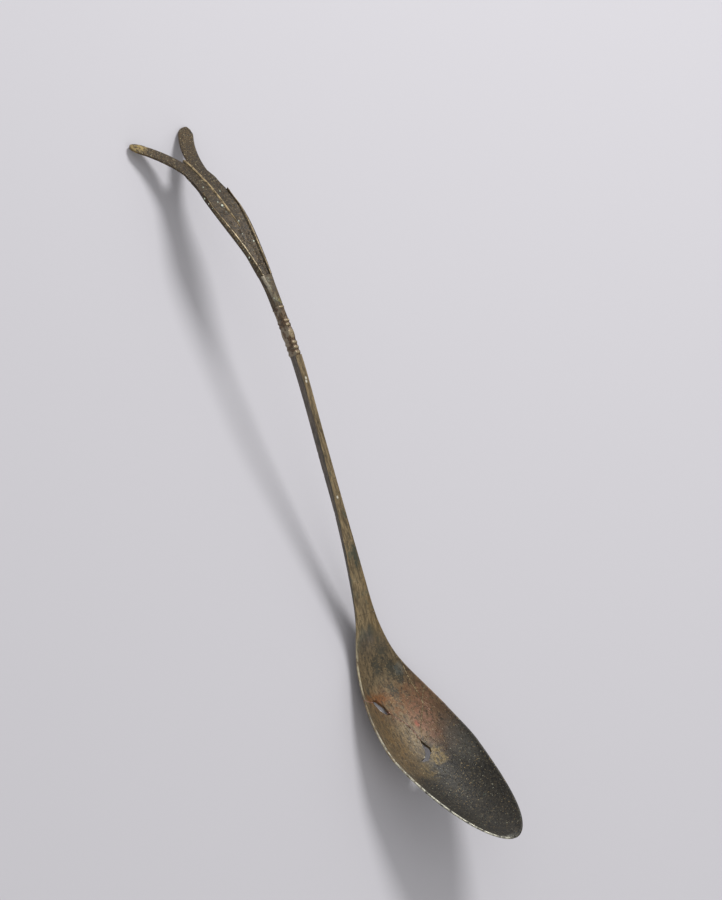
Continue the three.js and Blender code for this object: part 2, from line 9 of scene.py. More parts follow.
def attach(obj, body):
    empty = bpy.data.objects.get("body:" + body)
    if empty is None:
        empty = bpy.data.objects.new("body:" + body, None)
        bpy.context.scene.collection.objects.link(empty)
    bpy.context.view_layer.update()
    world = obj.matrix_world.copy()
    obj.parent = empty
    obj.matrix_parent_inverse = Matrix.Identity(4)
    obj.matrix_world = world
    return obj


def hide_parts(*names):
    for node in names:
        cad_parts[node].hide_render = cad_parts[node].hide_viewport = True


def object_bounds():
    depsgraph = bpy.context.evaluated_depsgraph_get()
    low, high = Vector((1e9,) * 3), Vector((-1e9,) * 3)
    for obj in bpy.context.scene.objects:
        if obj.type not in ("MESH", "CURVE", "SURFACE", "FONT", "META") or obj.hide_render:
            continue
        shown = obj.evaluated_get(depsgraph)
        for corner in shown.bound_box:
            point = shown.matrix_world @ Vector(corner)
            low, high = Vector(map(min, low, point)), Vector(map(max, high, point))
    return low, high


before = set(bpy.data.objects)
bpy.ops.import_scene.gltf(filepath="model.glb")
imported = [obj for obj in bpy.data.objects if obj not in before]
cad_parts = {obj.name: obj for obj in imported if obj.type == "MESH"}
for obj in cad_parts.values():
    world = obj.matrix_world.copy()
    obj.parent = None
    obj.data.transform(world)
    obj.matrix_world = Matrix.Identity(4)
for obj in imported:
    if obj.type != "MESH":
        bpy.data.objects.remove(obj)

CAD_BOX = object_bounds()

# Sizes are in millimetres and turned into metres where a mesh is made
MM = 0.001

# Lengths along the spine, from the bowl's tip to the flower
BOWL_LENGTH = 84.0
STEM_LENGTH = 77.0
LOWER_COLLAR_LENGTH = 4.6
BARREL_LENGTH = 4.0
UPPER_COLLAR_LENGTH = 2.6
THROAT_LENGTH = 3.0
TOP_RING_LENGTH = 1.1
CALYX_LENGTH = 9.8
SEPAL_LENGTH = 31.0
BLADE_LENGTH = 46.5
LOBE_REACH = 12.5
MIDRIB_LENGTH = 29.0

# Widths
BOWL_WIDTH = 31.7
NOSE_WIDTH = 21.6
SHOULDER_WIDTH = 28.8
HEEL_WIDTH = 23.2
THROAT_OF_BOWL_WIDTH = 12.3
NECK_WIDTH = 7.4
STEM_LOW_WIDTH = 5.2
STEM_MID_WIDTH = 3.0
STEM_WAIST_WIDTH = 2.05
STEM_TOP_WIDTH = 2.3
CALYX_TOP_WIDTH = 4.2
FLOWER_WIDTH = 10.8
BLADE_WIDTH = 8.2
LOBE_WIDTH = 4.1
LOBE_SPAN = 22.8
SEPAL_WIDTH = 1.25
MIDRIB_WIDTH = 0.7

# Depths and relief
BOWL_DEPTH = 7.4
NECK_DEPTH = 2.1
STEM_DEPTH = 3.3
CALYX_DEPTH = 2.2
SEPAL_DEPTH = 1.1
BLADE_THICKNESS = 1.0
WALL = 0.8
RIM_WIDTH = 0.95
RIM_ROUNDING = 0.3
RING_PROUD = 0.16
BARREL_PROUD = 0.2
VALLEY = 0.4
RIDGE = 0.22
GAP = 0.25

# The fine pieces meet more closely than the solids, and the lobes are fuller
JOINT = 0.02
FULL_LOBE_WIDTH = 5.1

# How the stem settles from the bowl's neck into its own section, with upright sides and a crowned top
NECK_SETTLE = 12.0
STEM_SIDE_SHARE = 0.2
STEM_CROWN_SHARE = 0.05

# How the sepals slope away from their ridge, and how their tips are tucked in and lifted
SEPAL_EDGE = 0.12
SEPAL_OUTER_DROP = 0.35
SEPAL_INNER_DROP = 0.25
SEPAL_UNDERCUT = 0.3
SEPAL_TIP_TUCK = 0.6
SEPAL_TIP_LIFT = 0.3

# How far the blade stays inside the sepals' outer edges, its hollow, its crown at the fork, and how
# much thinner than the calyx it starts
BLADE_TUCK = 0.45
BLADE_DISH = 0.15
BLADE_CROWN = 0.06
BLADE_UNDER_DISH = 0.2
BLADE_STEP = 0.4

# The lobes start inside the blade and end round
LOBE_ROOT = 2.2 * LOBE_WIDTH
LOBE_ROOT_SHARE = 0.86
LOBE_TAPER = 0.1
LOBE_SINK = 0.12
LOBE_BLUNT = 0.86
LOBE_TOP_ROUNDING = 0.15
LOBE_UNDER_ROUNDING = 0.25
LEAST_HALF_WIDTH = 0.15

# The midrib's height over the blade, and how far it and the lobes stand over the blade's valley
SEAT = 0.05
MIDRIB_HEIGHT = 0.42
MIDRIB_EDGE = 0.1
MIDRIB_BELLY = 0.01

# How the spoon lies: pitched back, and its bowl tip's place
REST_PITCH = -0.448081
REST_PLACE = (0.0, -116.50592, 30.40312)

# Places along the spine
NECK = BOWL_LENGTH
STEM_END = NECK + STEM_LENGTH
LOWER_COLLAR_END = STEM_END + LOWER_COLLAR_LENGTH
BARREL_END = LOWER_COLLAR_END + BARREL_LENGTH
UPPER_COLLAR_END = BARREL_END + UPPER_COLLAR_LENGTH
THROAT_END = UPPER_COLLAR_END + THROAT_LENGTH
TOP_RING_END = THROAT_END + TOP_RING_LENGTH
CALYX_END = TOP_RING_END + CALYX_LENGTH
SEPAL_TIP = CALYX_END + SEPAL_LENGTH
FORK = CALYX_END + BLADE_LENGTH
SPINE_END = FORK + 2 * LOBE_REACH
FLOWER_START = CALYX_END + JOINT

# The two lobes: side, how far the tip lies past the fork, and its height over the spine
LOBES = [(-1, LOBE_REACH - 0.9, 0.1), (1, LOBE_REACH + 1.1, 0.9)]

# Wear: depths, grains, pits and fields of pits a millimetre, and where and how the pits start
GRAIN_DEPTH = 0.035
SMALL_GRAIN_DEPTH = 0.015
PIT_DEPTH = 0.11
GRAINS_PER_MM = 2.2
PITS_PER_MM = 1.3
PIT_FIELDS_PER_MM = 0.45
PIT_THRESHOLD = 0.28
PIT_SLOPE = 0.4
PIT_SPREAD = 0.55
PIT_START = Vector((7.0, 3.0, 1.0))
PIT_FIELD_START = Vector((1.0, 9.0, 4.0))
WEAR_SQUEEZE = 0.55
RIM_BAND = 0.7
RIM_PIT_SHARE = 0.25
SHARP_ANGLE = 50
BUMP_DISTANCE = 0.15

# How the names of the pitted pieces start. The others have only the finest grain
PITTED = ("fine_bowl", "fine_stem", "fine_sepal", "fine_blade")


def smooth_step(value, low, high):
    t = np.clip((value - low) / (high - low), 0, 1)
    return t * t * (3 - 2 * t)


def smooth_through(stations):
    """A smooth curve through stations [place, value]."""
    x = np.array([station[0] for station in stations], float)
    y = np.array([station[1] for station in stations], float)
    before = np.maximum(np.arange(len(x)) - 1, 0)
    after = np.minimum(np.arange(len(x)) + 1, len(x) - 1)
    slopes = (y[after] - y[before]) / (x[after] - x[before])

    def curve(place):
        place = np.clip(np.asarray(place, float), x[0], x[-1])
        i = np.clip(np.searchsorted(x, place, side="right") - 1, 0, len(x) - 2)
        span = x[i + 1] - x[i]
        t = (place - x[i]) / span
        rise = t * t * (3 - 2 * t)
        leave = t * (1 - t) ** 2 * span * slopes[i]
        arrive = t * t * (t - 1) * span * slopes[i + 1]
        return y[i] + (y[i + 1] - y[i]) * rise + leave + arrive

    return curve


def rounded_through(stations):
    """The same curve on the square root of the distance, which rounds the bowl's tip."""
    curve = smooth_through([[math.sqrt(place), value] for place, value in stations])
    return lambda place: curve(np.sqrt(np.maximum(place, 0)))


lift_at = smooth_through([
    [0, -3.4], [0.214 * NECK, -3.1], [0.43 * NECK, 0.7], [0.62 * NECK, 7.7],
    [0.785 * NECK, 15.9], [0.905 * NECK, 38.1], [NECK, 43.1],
    [NECK + 0.21 * STEM_LENGTH, 39.6], [NECK + 0.53 * STEM_LENGTH, 37.2],
    [NECK + 0.86 * STEM_LENGTH, 35.9], [BARREL_END, 29], [CALYX_END - 0.4 * CALYX_LENGTH, 22.5],
    [CALYX_END + 0.55 * BLADE_LENGTH, 5.6], [FORK, -8], [SPINE_END, -8],
])

SPINE_STEP = 0.5
_middles = np.arange(SPINE_STEP / 2, SPINE_END, SPINE_STEP)
_lifts = np.radians(lift_at(_middles))
SPINE_Y = np.concatenate([[0], np.cumsum(SPINE_STEP * np.cos(_lifts))])
SPINE_Z = np.concatenate([[0], np.cumsum(SPINE_STEP * np.sin(_lifts))])


def laid_down(x, y, z):
    """Points of the lying spoon for points in its own frame, from the bowl's tip with y along it."""
    cos, sin = math.cos(REST_PITCH), math.sin(REST_PITCH)
    return np.stack([x + REST_PLACE[0], y * cos - z * sin + REST_PLACE[1],
                     y * sin + z * cos + REST_PLACE[2]], -1)


def on_spine(places):
    """Points of the lying spoon, in millimetres, for places (x, s, n) round the spine."""
    places = np.asarray(places, float)
    x, s, n = places[..., 0], places[..., 1], places[..., 2]
    i = np.clip((s / SPINE_STEP).astype(int), 0, len(SPINE_Y) - 2)
    share = s / SPINE_STEP - i
    lift = np.radians(lift_at(s))
    y = SPINE_Y[i] * (1 - share) + SPINE_Y[i + 1] * share - n * np.sin(lift)
    z = SPINE_Z[i] * (1 - share) + SPINE_Z[i + 1] * share + n * np.cos(lift)
    return laid_down(x, y, z)


def places_of(points):
    """The places (x, s, n) of points of the lying spoon."""
    rest = points - np.array(REST_PLACE)
    cos, sin = math.cos(REST_PITCH), math.sin(REST_PITCH)
    y = rest[:, 1] * cos + rest[:, 2] * sin
    z = -rest[:, 1] * sin + rest[:, 2] * cos
    places = np.empty_like(points)
    for start in range(0, len(points), 5000):
        part = slice(start, start + 5000)
        away = (y[part, None] - SPINE_Y) ** 2 + (z[part, None] - SPINE_Z) ** 2
        nearest = away.argmin(1)
        lift = np.radians(lift_at(nearest * SPINE_STEP))
        dy, dz = y[part] - SPINE_Y[nearest], z[part] - SPINE_Z[nearest]
        places[part, 0] = rest[part, 0]
        places[part, 1] = nearest * SPINE_STEP + dy * np.cos(lift) + dz * np.sin(lift)
        places[part, 2] = -dy * np.sin(lift) + dz * np.cos(lift)
    return places


half_width_at = rounded_through([
    [0, 0], [0.143 * NECK, NOSE_WIDTH / 2], [0.44 * NECK, BOWL_WIDTH / 2],
    [0.595 * NECK, SHOULDER_WIDTH / 2], [0.714 * NECK, HEEL_WIDTH / 2],
    [0.893 * NECK, THROAT_OF_BOWL_WIDTH / 2], [NECK, NECK_WIDTH / 2],
    [NECK + 0.143 * STEM_LENGTH, STEM_LOW_WIDTH / 2], [NECK + 0.40 * STEM_LENGTH, STEM_MID_WIDTH / 2],
    [NECK + 0.73 * STEM_LENGTH, STEM_WAIST_WIDTH / 2], [STEM_END, STEM_TOP_WIDTH / 2],
])
outer_depth_at = smooth_through([
    [0, 0], [0.05 * NECK, 0.31 * BOWL_DEPTH], [0.143 * NECK, 0.65 * BOWL_DEPTH],
    [0.262 * NECK, 0.9 * BOWL_DEPTH], [0.42 * NECK, BOWL_DEPTH], [0.57 * NECK, 0.94 * BOWL_DEPTH],
    [0.714 * NECK, 0.72 * BOWL_DEPTH], [0.845 * NECK, 0.43 * BOWL_DEPTH],
    [0.93 * NECK, 0.5 * NECK_DEPTH + 0.15 * BOWL_DEPTH], [NECK, NECK_DEPTH],
    [NECK + 0.2 * STEM_LENGTH, 0.5 * NECK_DEPTH + 0.3 * STEM_DEPTH],
    [NECK + 0.4 * STEM_LENGTH, 0.2 * NECK_DEPTH + 0.6 * STEM_DEPTH],
    [NECK + 0.6 * STEM_LENGTH, 0.93 * STEM_DEPTH], [STEM_END, STEM_DEPTH],
])


def inner_depth_at(s):
    opening = 1 - smooth_step(s, 0.78 * NECK, NECK)
    return np.maximum((outer_depth_at(s) - WALL) * opening, 0)


def squareness_at(s):
    return 2 + 5 * smooth_step(s, 0.82 * NECK, NECK + 0.25 * STEM_LENGTH)


def shares(columns):
    return np.sin(math.pi * (np.arange(columns + 1) / columns - 0.5))


def placed(name, data):
    """A new object in the scene."""
    made = bpy.data.objects.new(name, data)
    bpy.context.scene.collection.objects.link(made)
    return made


def mesh_object(name, points, faces):
    """An object whose points are given in millimetres."""
    mesh = bpy.data.meshes.new(name)
    mesh.from_pydata((np.asarray(points) * MM).tolist(), [], faces)
    return placed(name, mesh)


def face_outward(made):
    work = bmesh.new()
    work.from_mesh(made.data)
    bmesh.ops.recalc_face_normals(work, faces=work.faces)
    work.to_mesh(made.data)
    work.free()
    return made


def loft(name, loops, shared=False):
    """A closed solid through loops of places. The second half of a loop goes back under the first,
    and where the ends are shared, both halves meet in the loop's first and middle points."""
    loops = np.asarray(loops, float)
    rows, count = loops.shape[:2]
    points = on_spine(loops.reshape(-1, 3))
    faces = []
    for row in range(rows - 1):
        for i in range(count):
            after = (i + 1) % count
            faces.append((row * count + i, row * count + after,
                          (row + 1) * count + after, (row + 1) * count + i))
    end = (rows - 1) * count
    offset = 0 if shared else 1
    for i in range(1 if shared else 0, count // 2 - 1):
        faces.append((i, count - offset - i, count - offset - 1 - i, i + 1))
        faces.append((end + i, end + i + 1, end + count - offset - 1 - i, end + count - offset - i))
    if shared:
        middle = count // 2
        for row, turn in ((0, 1), (end, -1)):
            faces.append((row, row + count - 1, row + 1)[::turn])
            faces.append((row + middle, row + middle - 1, row + middle + 1)[::turn])
    return face_outward(mesh_object(name, points, faces))


def boolean(made, operation, cutter):
    modifier = made.modifiers.new("cut", "BOOLEAN")
    modifier.operation = operation
    modifier.object = cutter
    modifier.solver = "MANIFOLD"
    bpy.context.view_layer.update()
    evaluated = made.evaluated_get(bpy.context.evaluated_depsgraph_get())
    mesh = bpy.data.meshes.new_from_object(evaluated)
    made.modifiers.clear()
    made.data = mesh


def drop(*objects):
    for made in objects:
        bpy.data.objects.remove(made)


# The bowl: an outer and an inner skin that meet in a rounded rim
BOWL_ROWS = 190
BOWL_COLUMNS = 74
ROW_CROWDING = 1.35
BLUNT_TIP = 0.05


def bowl_loop(s):
    reach = 0.01
    widening = (half_width_at(s + reach) - half_width_at(s)) / reach
    slant = math.hypot(1, widening)

    def inset(share):
        half = max(half_width_at(s) - share * RIM_WIDTH / slant, 0)
        return half, min(s + share * RIM_WIDTH * max(widening, 0) / slant, NECK)

    edge = RIM_ROUNDING * (1 - smooth_step(s, 0.8 * NECK, NECK))
    inner_half, inner_s = inset(1)
    hollow = max(inner_depth_at(inner_s), edge)
    depth = max(outer_depth_at(s), edge)
    power = squareness_at(s)
    columns = shares(BOWL_COLUMNS)
    outer_half = half_width_at(s)
    inner = [(c * inner_half, inner_s, -edge - (hollow - edge) * (1 - c * c)) for c in columns]
    outer = [(c * outer_half, s, -edge - (depth - edge) * (1 - abs(c) ** power)) for c in columns]

    def crest(side, shares_of_rim):
        made = []
        for share in shares_of_rim:
            half, at = inset(share)
            height = -edge * (2 * abs(share - 0.5)) ** 2.4
            made.append((side * half, at, height))
        return made

    return (crest(-1, (0.5, 0.75)) + inner + crest(1, (0.75, 0.5, 0.25))
            + outer[::-1] + crest(-1, (0.25,)))


def make_bowl():
    loops = []
    for row in range(BOWL_ROWS + 1):
        loops.append(bowl_loop(BLUNT_TIP + (NECK - BLUNT_TIP) * (row / BOWL_ROWS) ** ROW_CROWDING))
    return loft("bowl", loops, shared=True)


# The breaks in plan, as shares of half the bowl's width and of its length
FRACTURE_LEFT = [
    (-1.02, 0.712), (-0.73, 0.707), (-0.41, 0.714), (-0.22, 0.705), (-0.095, 0.679),
    (0.013, 0.649), (0.13, 0.626), (0.19, 0.594), (0.208, 0.55),
]
FRACTURE_RIGHT = [(0.265, 0.561), (0.341, 0.592), (0.435, 0.617), (0.57, 0.655)]
FRACTURE_EDGE = [(0.575, 0.685), (0.549, 0.719), (0.524, 0.756), (0.505, 0.805), (0.545, 0.83)]
FRACTURE_SHORT = [(0.87, 0.704), (0.757, 0.7), (0.69, 0.697), (0.631, 0.683)]
SLIT = [(-0.43, 0.718), (-0.33, 0.69), (-0.2, 0.67), (-0.09, 0.667), (-0.14, 0.70), (-0.28, 0.724)]
HOLE = [
    (0.2, 0.556), (0.245, 0.525), (0.28, 0.509), (0.26, 0.494), (0.19, 0.482), (0.1, 0.466),
    (-0.03, 0.465), (-0.05, 0.475), (0.06, 0.481), (0.13, 0.495), (0.165, 0.517),
]
NECK_SIDE = [(1.3, 0.84), (1.3, 1.2), (-1.3, 1.2), (-1.3, 0.712)]
RIM_SIDE = [(1.3, 0.83), (1.3, 0.704)]
BACK_OUTLINE = FRACTURE_LEFT + FRACTURE_RIGHT + FRACTURE_EDGE + NECK_SIDE
EDGE_OUTLINE = FRACTURE_RIGHT[-1:] + FRACTURE_EDGE + RIM_SIDE + FRACTURE_SHORT


def plan_of(outline):
    return np.array([(side * BOWL_WIDTH / 2, along * BOWL_LENGTH) for side, along in outline])


def grow(points, distance):
    """An outline moved out by a distance all round."""
    before, after = np.roll(points, 1, 0), np.roll(points, -1, 0)
    area = np.sum(before[:, 0] * points[:, 1] - points[:, 0] * before[:, 1])
    turn = 1 if area > 0 else -1
    arriving = points - before
    leaving = after - points
    arriving /= np.linalg.norm(arriving, axis=1)[:, None]
    leaving /= np.linalg.norm(leaving, axis=1)[:, None]
    out = np.stack([arriving[:, 1] + leaving[:, 1], -arriving[:, 0] - leaving[:, 0]], 1)
    out /= np.linalg.norm(out, axis=1)[:, None]
    opening = np.maximum(out[:, 0] * leaving[:, 1] - out[:, 1] * leaving[:, 0], 0.5)
    return points + out * (turn * distance / opening)[:, None]


def cutter_of(outline, growth):
    """An upright block, in the spoon's own frame, with the given outline in plan."""
    plan = grow(plan_of(outline), growth)
    count = len(plan)
    reach = 60.0
    points = np.concatenate([laid_down(plan[:, 0], plan[:, 1], z) for z in (-reach, reach)])
    faces = [tuple(range(count))[::-1], tuple(range(count, 2 * count))]
    for i in range(count):
        after = (i + 1) % count
        faces.append((i, after, count + after, count + i))
    return face_outward(mesh_object("cutter", points, faces))


def piece_of(bowl, name, inside, outside):
    """The part of the bowl inside one outline and outside others, each given with its growth."""
    piece = placed(name, bowl.data.copy())
    for operation, outlines in (("INTERSECT", inside), ("DIFFERENCE", outside)):
        for outline, growth in outlines:
            cutter = cutter_of(outline, growth)
            boolean(piece, operation, cutter)
            drop(cutter)
    return piece


def make_bowl_pieces():
    bowl = make_bowl()
    sliver = 0.03
    openings = [(SLIT, 0), (HOLE, 0)]
    pieces = {
        "bowl_back": piece_of(bowl, "fine_bowl_back", [(BACK_OUTLINE, 0)], [(SLIT, 0)]),
        "bowl_edge_piece": piece_of(bowl, "fine_bowl_edge_piece", [(EDGE_OUTLINE, 0)],
                                    [(BACK_OUTLINE, GAP)]),
        "bowl_front": piece_of(bowl, "fine_bowl_front", [],
                               [(BACK_OUTLINE, GAP), (EDGE_OUTLINE, GAP)] + openings),
        "mend_long": piece_of(bowl, "mend_long", [(BACK_OUTLINE, GAP - sliver)],
                              [(BACK_OUTLINE, sliver)] + openings),
        "mend_short": piece_of(bowl, "mend_short", [(EDGE_OUTLINE, GAP - sliver)],
                               [(EDGE_OUTLINE, sliver), (BACK_OUTLINE, GAP)]),
    }
    drop(bowl)
    return pieces


def make_stem():
    start = NECK + JOINT
    steps = 260
    columns = shares(22)
    loops = []
    for i in range(steps + 1):
        s = start + (STEM_END - start) * i / steps
        half = half_width_at(s)
        power = squareness_at(s)
        depth = outer_depth_at(s)
        settle = smooth_step(s, NECK, NECK + NECK_SETTLE)
        side = STEM_SIDE_SHARE * settle
        crown = STEM_CROWN_SHARE * settle * half
        top = [(c * half, s, -crown * c * c) for c in columns]
        under = [(-c * half, s, -depth * (side + (1 - side) * (1 - abs(c) ** power))) for c in columns]
        loops.append(top + under)
    return loft("fine_stem", loops)


BAR_POINTS = 48


def squared(value):
    """A sine or cosine drawn out towards the corner of a square."""
    return math.copysign(math.sqrt(abs(value)), value)


def bar_loop(s, half, depth, proud):
    """A loop round a bar of square section with round corners."""
    points = []
    for i in range(BAR_POINTS):
        angle = math.pi - (i + 0.5) * 2 * math.pi / BAR_POINTS
        x = squared(math.cos(angle)) * (half + proud)
        n = squared(math.sin(angle)) * (depth / 2 + proud) - depth / 2
        points.append((x, s, n))
    return points


def plain(share):
    """Level with the stem all along."""
    return 0 * share


def make_collar(name, start, end, proud_at, steps):
    start += JOINT
    loops = []
    for i in range(steps + 1):
        s = start + (end - start) * i / steps
        loops.append(bar_loop(s, half_width_at(s), outer_depth_at(s), proud_at(i / steps)))
    return loft(name, loops)


def rings(count):
    """Fine ridges side by side, each rising smoothly from the stem."""
    return lambda share: RING_PROUD * math.sin(math.pi * ((share * count) % 1)) ** 2


def barrel(share):
    """One swelling from end to end."""
    return BARREL_PROUD * math.sin(math.pi * share)


calyx_half_at = smooth_through([
    [TOP_RING_END, STEM_TOP_WIDTH / 2 + 0.1],
    [TOP_RING_END + 0.6 * CALYX_LENGTH, 0.4 * STEM_TOP_WIDTH + 0.17 * CALYX_TOP_WIDTH],
    [CALYX_END, CALYX_TOP_WIDTH / 2],
])
calyx_depth_at = smooth_through([[TOP_RING_END, STEM_DEPTH], [CALYX_END, CALYX_DEPTH]])
flower_half_at = smooth_through([
    [FLOWER_START, CALYX_TOP_WIDTH / 2],
    [CALYX_END + 0.29 * SEPAL_LENGTH, 0.64 * FLOWER_WIDTH / 2],
    [CALYX_END + 0.58 * SEPAL_LENGTH, 0.9 * FLOWER_WIDTH / 2],
    [CALYX_END + 0.8 * SEPAL_LENGTH, FLOWER_WIDTH / 2],
    [SEPAL_TIP, 0.98 * FLOWER_WIDTH / 2],
])
blade_free_half_at = smooth_through([
    [SEPAL_TIP, BLADE_WIDTH / 2], [FORK - 1.6 * LOBE_WIDTH, BLADE_WIDTH / 2],
    [FORK - 0.35 * LOBE_WIDTH, 0.33 * LOBE_WIDTH], [FORK, 0.07 * LOBE_WIDTH],
])


def make_calyx():
    start = TOP_RING_END + JOINT
    steps = 40
    loops = []
    for i in range(steps + 1):
        s = start + (CALYX_END - start) * i / steps
        loops.append(bar_loop(s, calyx_half_at(s), calyx_depth_at(s), 0))
    return loft("fine_calyx", loops)


def sepal_width_at(s):
    """A sepal swells in its middle and runs out to its tip."""
    along = (s - FLOWER_START) / (SEPAL_TIP - FLOWER_START)
    swell = 0.8 + 0.5 * math.sin(math.pi * min(along, 1))
    return SEPAL_WIDTH * swell * (1 - along ** 5) + SEPAL_EDGE


def rounded_section(corners, cuts):
    """A loop of places whose corners are cut off, again and again, to an even flow."""
    points = np.array(corners, float)
    for _ in range(cuts):
        after = np.roll(points, -1, 0)
        early = 0.75 * points + 0.25 * after
        late = 0.25 * points + 0.75 * after
        points = np.stack([early, late], 1).reshape(-1, 3)
    return points


def make_sepal(name, side):
    loops = []
    steps = 110
    for i in range(steps + 1):
        along = i / steps
        s = FLOWER_START + (SEPAL_TIP - FLOWER_START) * along
        outer = flower_half_at(s) - SEPAL_TIP_TUCK * smooth_step(along, 0.75, 1)
        width = sepal_width_at(s)
        lift = SEPAL_TIP_LIFT * smooth_step(along, 0.85, 1)
        depth = CALYX_DEPTH + (SEPAL_DEPTH - CALYX_DEPTH) * smooth_step(along, 0, 0.4)
        depth *= 1 - 0.4 * along ** 3
        section = [
            (0, -SEPAL_OUTER_DROP), (0.35, 0), (0.62, RIDGE), (1, -SEPAL_INNER_DROP),
            (1, -depth), (0.8, -depth - 0.02), (0.45, -depth), (0, SEPAL_UNDERCUT - depth),
        ]
        corners = [(side * (outer - share * width), s, n + lift) for share, n in section]
        loops.append(rounded_section(corners, 2))
    return loft(name, loops)


def blade_half_at(s):
    """The blade fills the flower below the sepals and draws in past their tips."""
    under_sepals = flower_half_at(min(s, SEPAL_TIP)) - BLADE_TUCK
    free = blade_free_half_at(max(s, SEPAL_TIP))
    leave = smooth_step(s, SEPAL_TIP - 2.5, SEPAL_TIP + 5)
    return under_sepals * (1 - leave) + free * leave


def make_blade_strip():
    """The blade up to the fork, dished on top, with a crown where the lobes start."""
    steps = 130
    columns = np.linspace(-1, 1, 29)
    loops = []
    for i in range(steps + 1):
        s = FLOWER_START + (FORK - FLOWER_START) * i / steps
        half = blade_half_at(s)
        fall = smooth_step(s, CALYX_END, SEPAL_TIP)
        depth = (CALYX_DEPTH - BLADE_STEP) * (1 - fall) + (VALLEY + BLADE_THICKNESS) * fall
        crowned = smooth_step(s, FORK - 2.6 * LOBE_WIDTH, FORK - 1.8 * LOBE_WIDTH)
        top = []
        for c in columns:
            dish = BLADE_DISH * (1 - crowned) * (2 * abs(c) - 1) ** 2
            top.append((c * half, s, dish - VALLEY - BLADE_CROWN * crowned * c * c))
        under = [(-c * half, s, -depth + BLADE_UNDER_DISH * c * c) for c in columns]
        loops.append(top + under)
    return loft("fine_blade", loops)


def lobe_line(side, reach):
    """The middle line of a lobe, from inside the blade out to its tip, as a place and a direction."""
    tip = LOBE_SPAN / 2
    root = np.array([side * 0.46 * LOBE_WIDTH, FORK - LOBE_ROOT])
    bend = np.array([side * 0.2 * tip, FORK + 0.2 * reach])
    end = np.array([side * tip, FORK + reach])

    def at(along):
        place = root * (1 - along) ** 2 + 2 * bend * along * (1 - along) + end * along ** 2
        tangent = 2 * (bend - root) * (1 - along) + 2 * (end - bend) * along
        return place, tangent / np.linalg.norm(tangent)

    return at


def crowded(turn):
    """Even steps along a lobe, which crowd together in its round end."""
    straight = 0.8
    if turn < straight:
        return turn / straight * LOBE_BLUNT
    return LOBE_BLUNT + (1 - LOBE_BLUNT) * math.sin(math.pi / 2 * (turn - straight) / (1 - straight))


def lobe_half_at(along):
    """Half a lobe's width: a little narrower at its root, tapering, and round at its end."""
    growth = LOBE_ROOT_SHARE + (1 - LOBE_ROOT_SHARE) * smooth_step(along, 0, 0.6)
    end = max(0.0, (along - LOBE_BLUNT) / (1 - LOBE_BLUNT))
    rounding = math.sqrt(max(1 - end * end, 0))
    return max(FULL_LOBE_WIDTH / 2 * growth * (1 - LOBE_TAPER * along) * rounding, LEAST_HALF_WIDTH)


def make_lobe(side, reach, rise):
    line = lobe_line(side, reach)
    steps = 60
    loops = []
    for i in range(steps + 1):
        along = crowded(i / steps)
        centre, tangent = line(along)
        across = np.array([tangent[1], -tangent[0]])
        half = lobe_half_at(along)
        sunk = LOBE_SINK * (1 - smooth_step(along, 0, 0.3))
        top = SEAT - VALLEY - sunk
        under = sunk - VALLEY - BLADE_THICKNESS
        top_edge = top - LOBE_TOP_ROUNDING
        under_edge = under + LOBE_UNDER_ROUNDING
        section = [
            (-1, top_edge), (-0.6, top), (0.6, top), (1, top_edge),
            (1, under_edge), (0.6, under), (-0.6, under), (-1, under_edge),
        ]
        corners = []
        for share, n in section:
            x, s = centre + across * share * half
            corners.append((x, s, n + rise * along * along))
        loops.append(rounded_section(corners, 2))
    return loft("lobe", loops)


def make_blade():
    blade = make_blade_strip()
    for lobe in LOBES:
        made = make_lobe(*lobe)
        boolean(blade, "UNION", made)
        drop(made)
    return blade


def make_midrib():
    end = FORK - 0.5
    foot = SEAT - VALLEY
    steps = 90
    loops = []
    for i in range(steps + 1):
        along = i / steps
        s = end - MIDRIB_LENGTH * (1 - along)
        half = MIDRIB_WIDTH / 2 * max(smooth_step(along, 0, 0.25), 0.3)
        edge = foot + MIDRIB_EDGE
        corners = [
            (-half, s, edge), (0, s, foot + MIDRIB_HEIGHT), (half, s, edge),
            (half, s, foot), (0, s, foot - MIDRIB_BELLY), (-half, s, foot),
        ]
        loops.append(rounded_section(corners, 1))
    return loft("fine_midrib", loops)


# Wear, grain and pits in the surface itself

def sink_at(place, grain, pits):
    """How deep wear has sunk the surface at a place. The rim has fewer pits."""
    x, s, n = place
    at = Vector((x, s * WEAR_SQUEEZE, n))
    fine = 0.5 + 0.5 * noise.fractal(at * GRAINS_PER_MM, 0.8, 2.0, 3)
    pit = noise.noise(at * PITS_PER_MM + PIT_START)
    field = noise.noise(at * PIT_FIELDS_PER_MM + PIT_FIELD_START)
    hollow = max(pit - PIT_THRESHOLD, 0) / PIT_SLOPE * min(max(field + PIT_SPREAD, 0), 1)
    if s < 0.9 * NECK and n > -RIM_BAND:
        hollow *= RIM_PIT_SHARE
    return grain * min(max(fine, 0), 1) + pits * min(hollow, 1)


def weather(made, grain, pits):
    """Sinks fine grain and pits into the surface, along its own normals, and keeps each point's
    place round the spine for the materials. Nothing goes below the floor or over the highest solid."""
    mesh = made.data
    count = len(mesh.vertices)
    points = np.empty(count * 3)
    mesh.vertices.foreach_get("co", points)
    points = points.reshape(-1, 3) / MM
    normals = np.empty(count * 3)
    mesh.vertex_normals.foreach_get("vector", normals)
    normals = normals.reshape(-1, 3)
    places = places_of(points)
    sink = np.array([sink_at(place, grain, pits) for place in places])
    points = points - normals * sink[:, None]
    points[:, 2] = np.clip(points[:, 2], 0, CAD_BOX[1][2] / MM)
    mesh.vertices.foreach_set("co", (points * MM).ravel())
    place = mesh.attributes.new("place", "FLOAT_VECTOR", "POINT")
    place.data.foreach_set("vector", places.astype(np.float32).ravel())
    mesh.update()


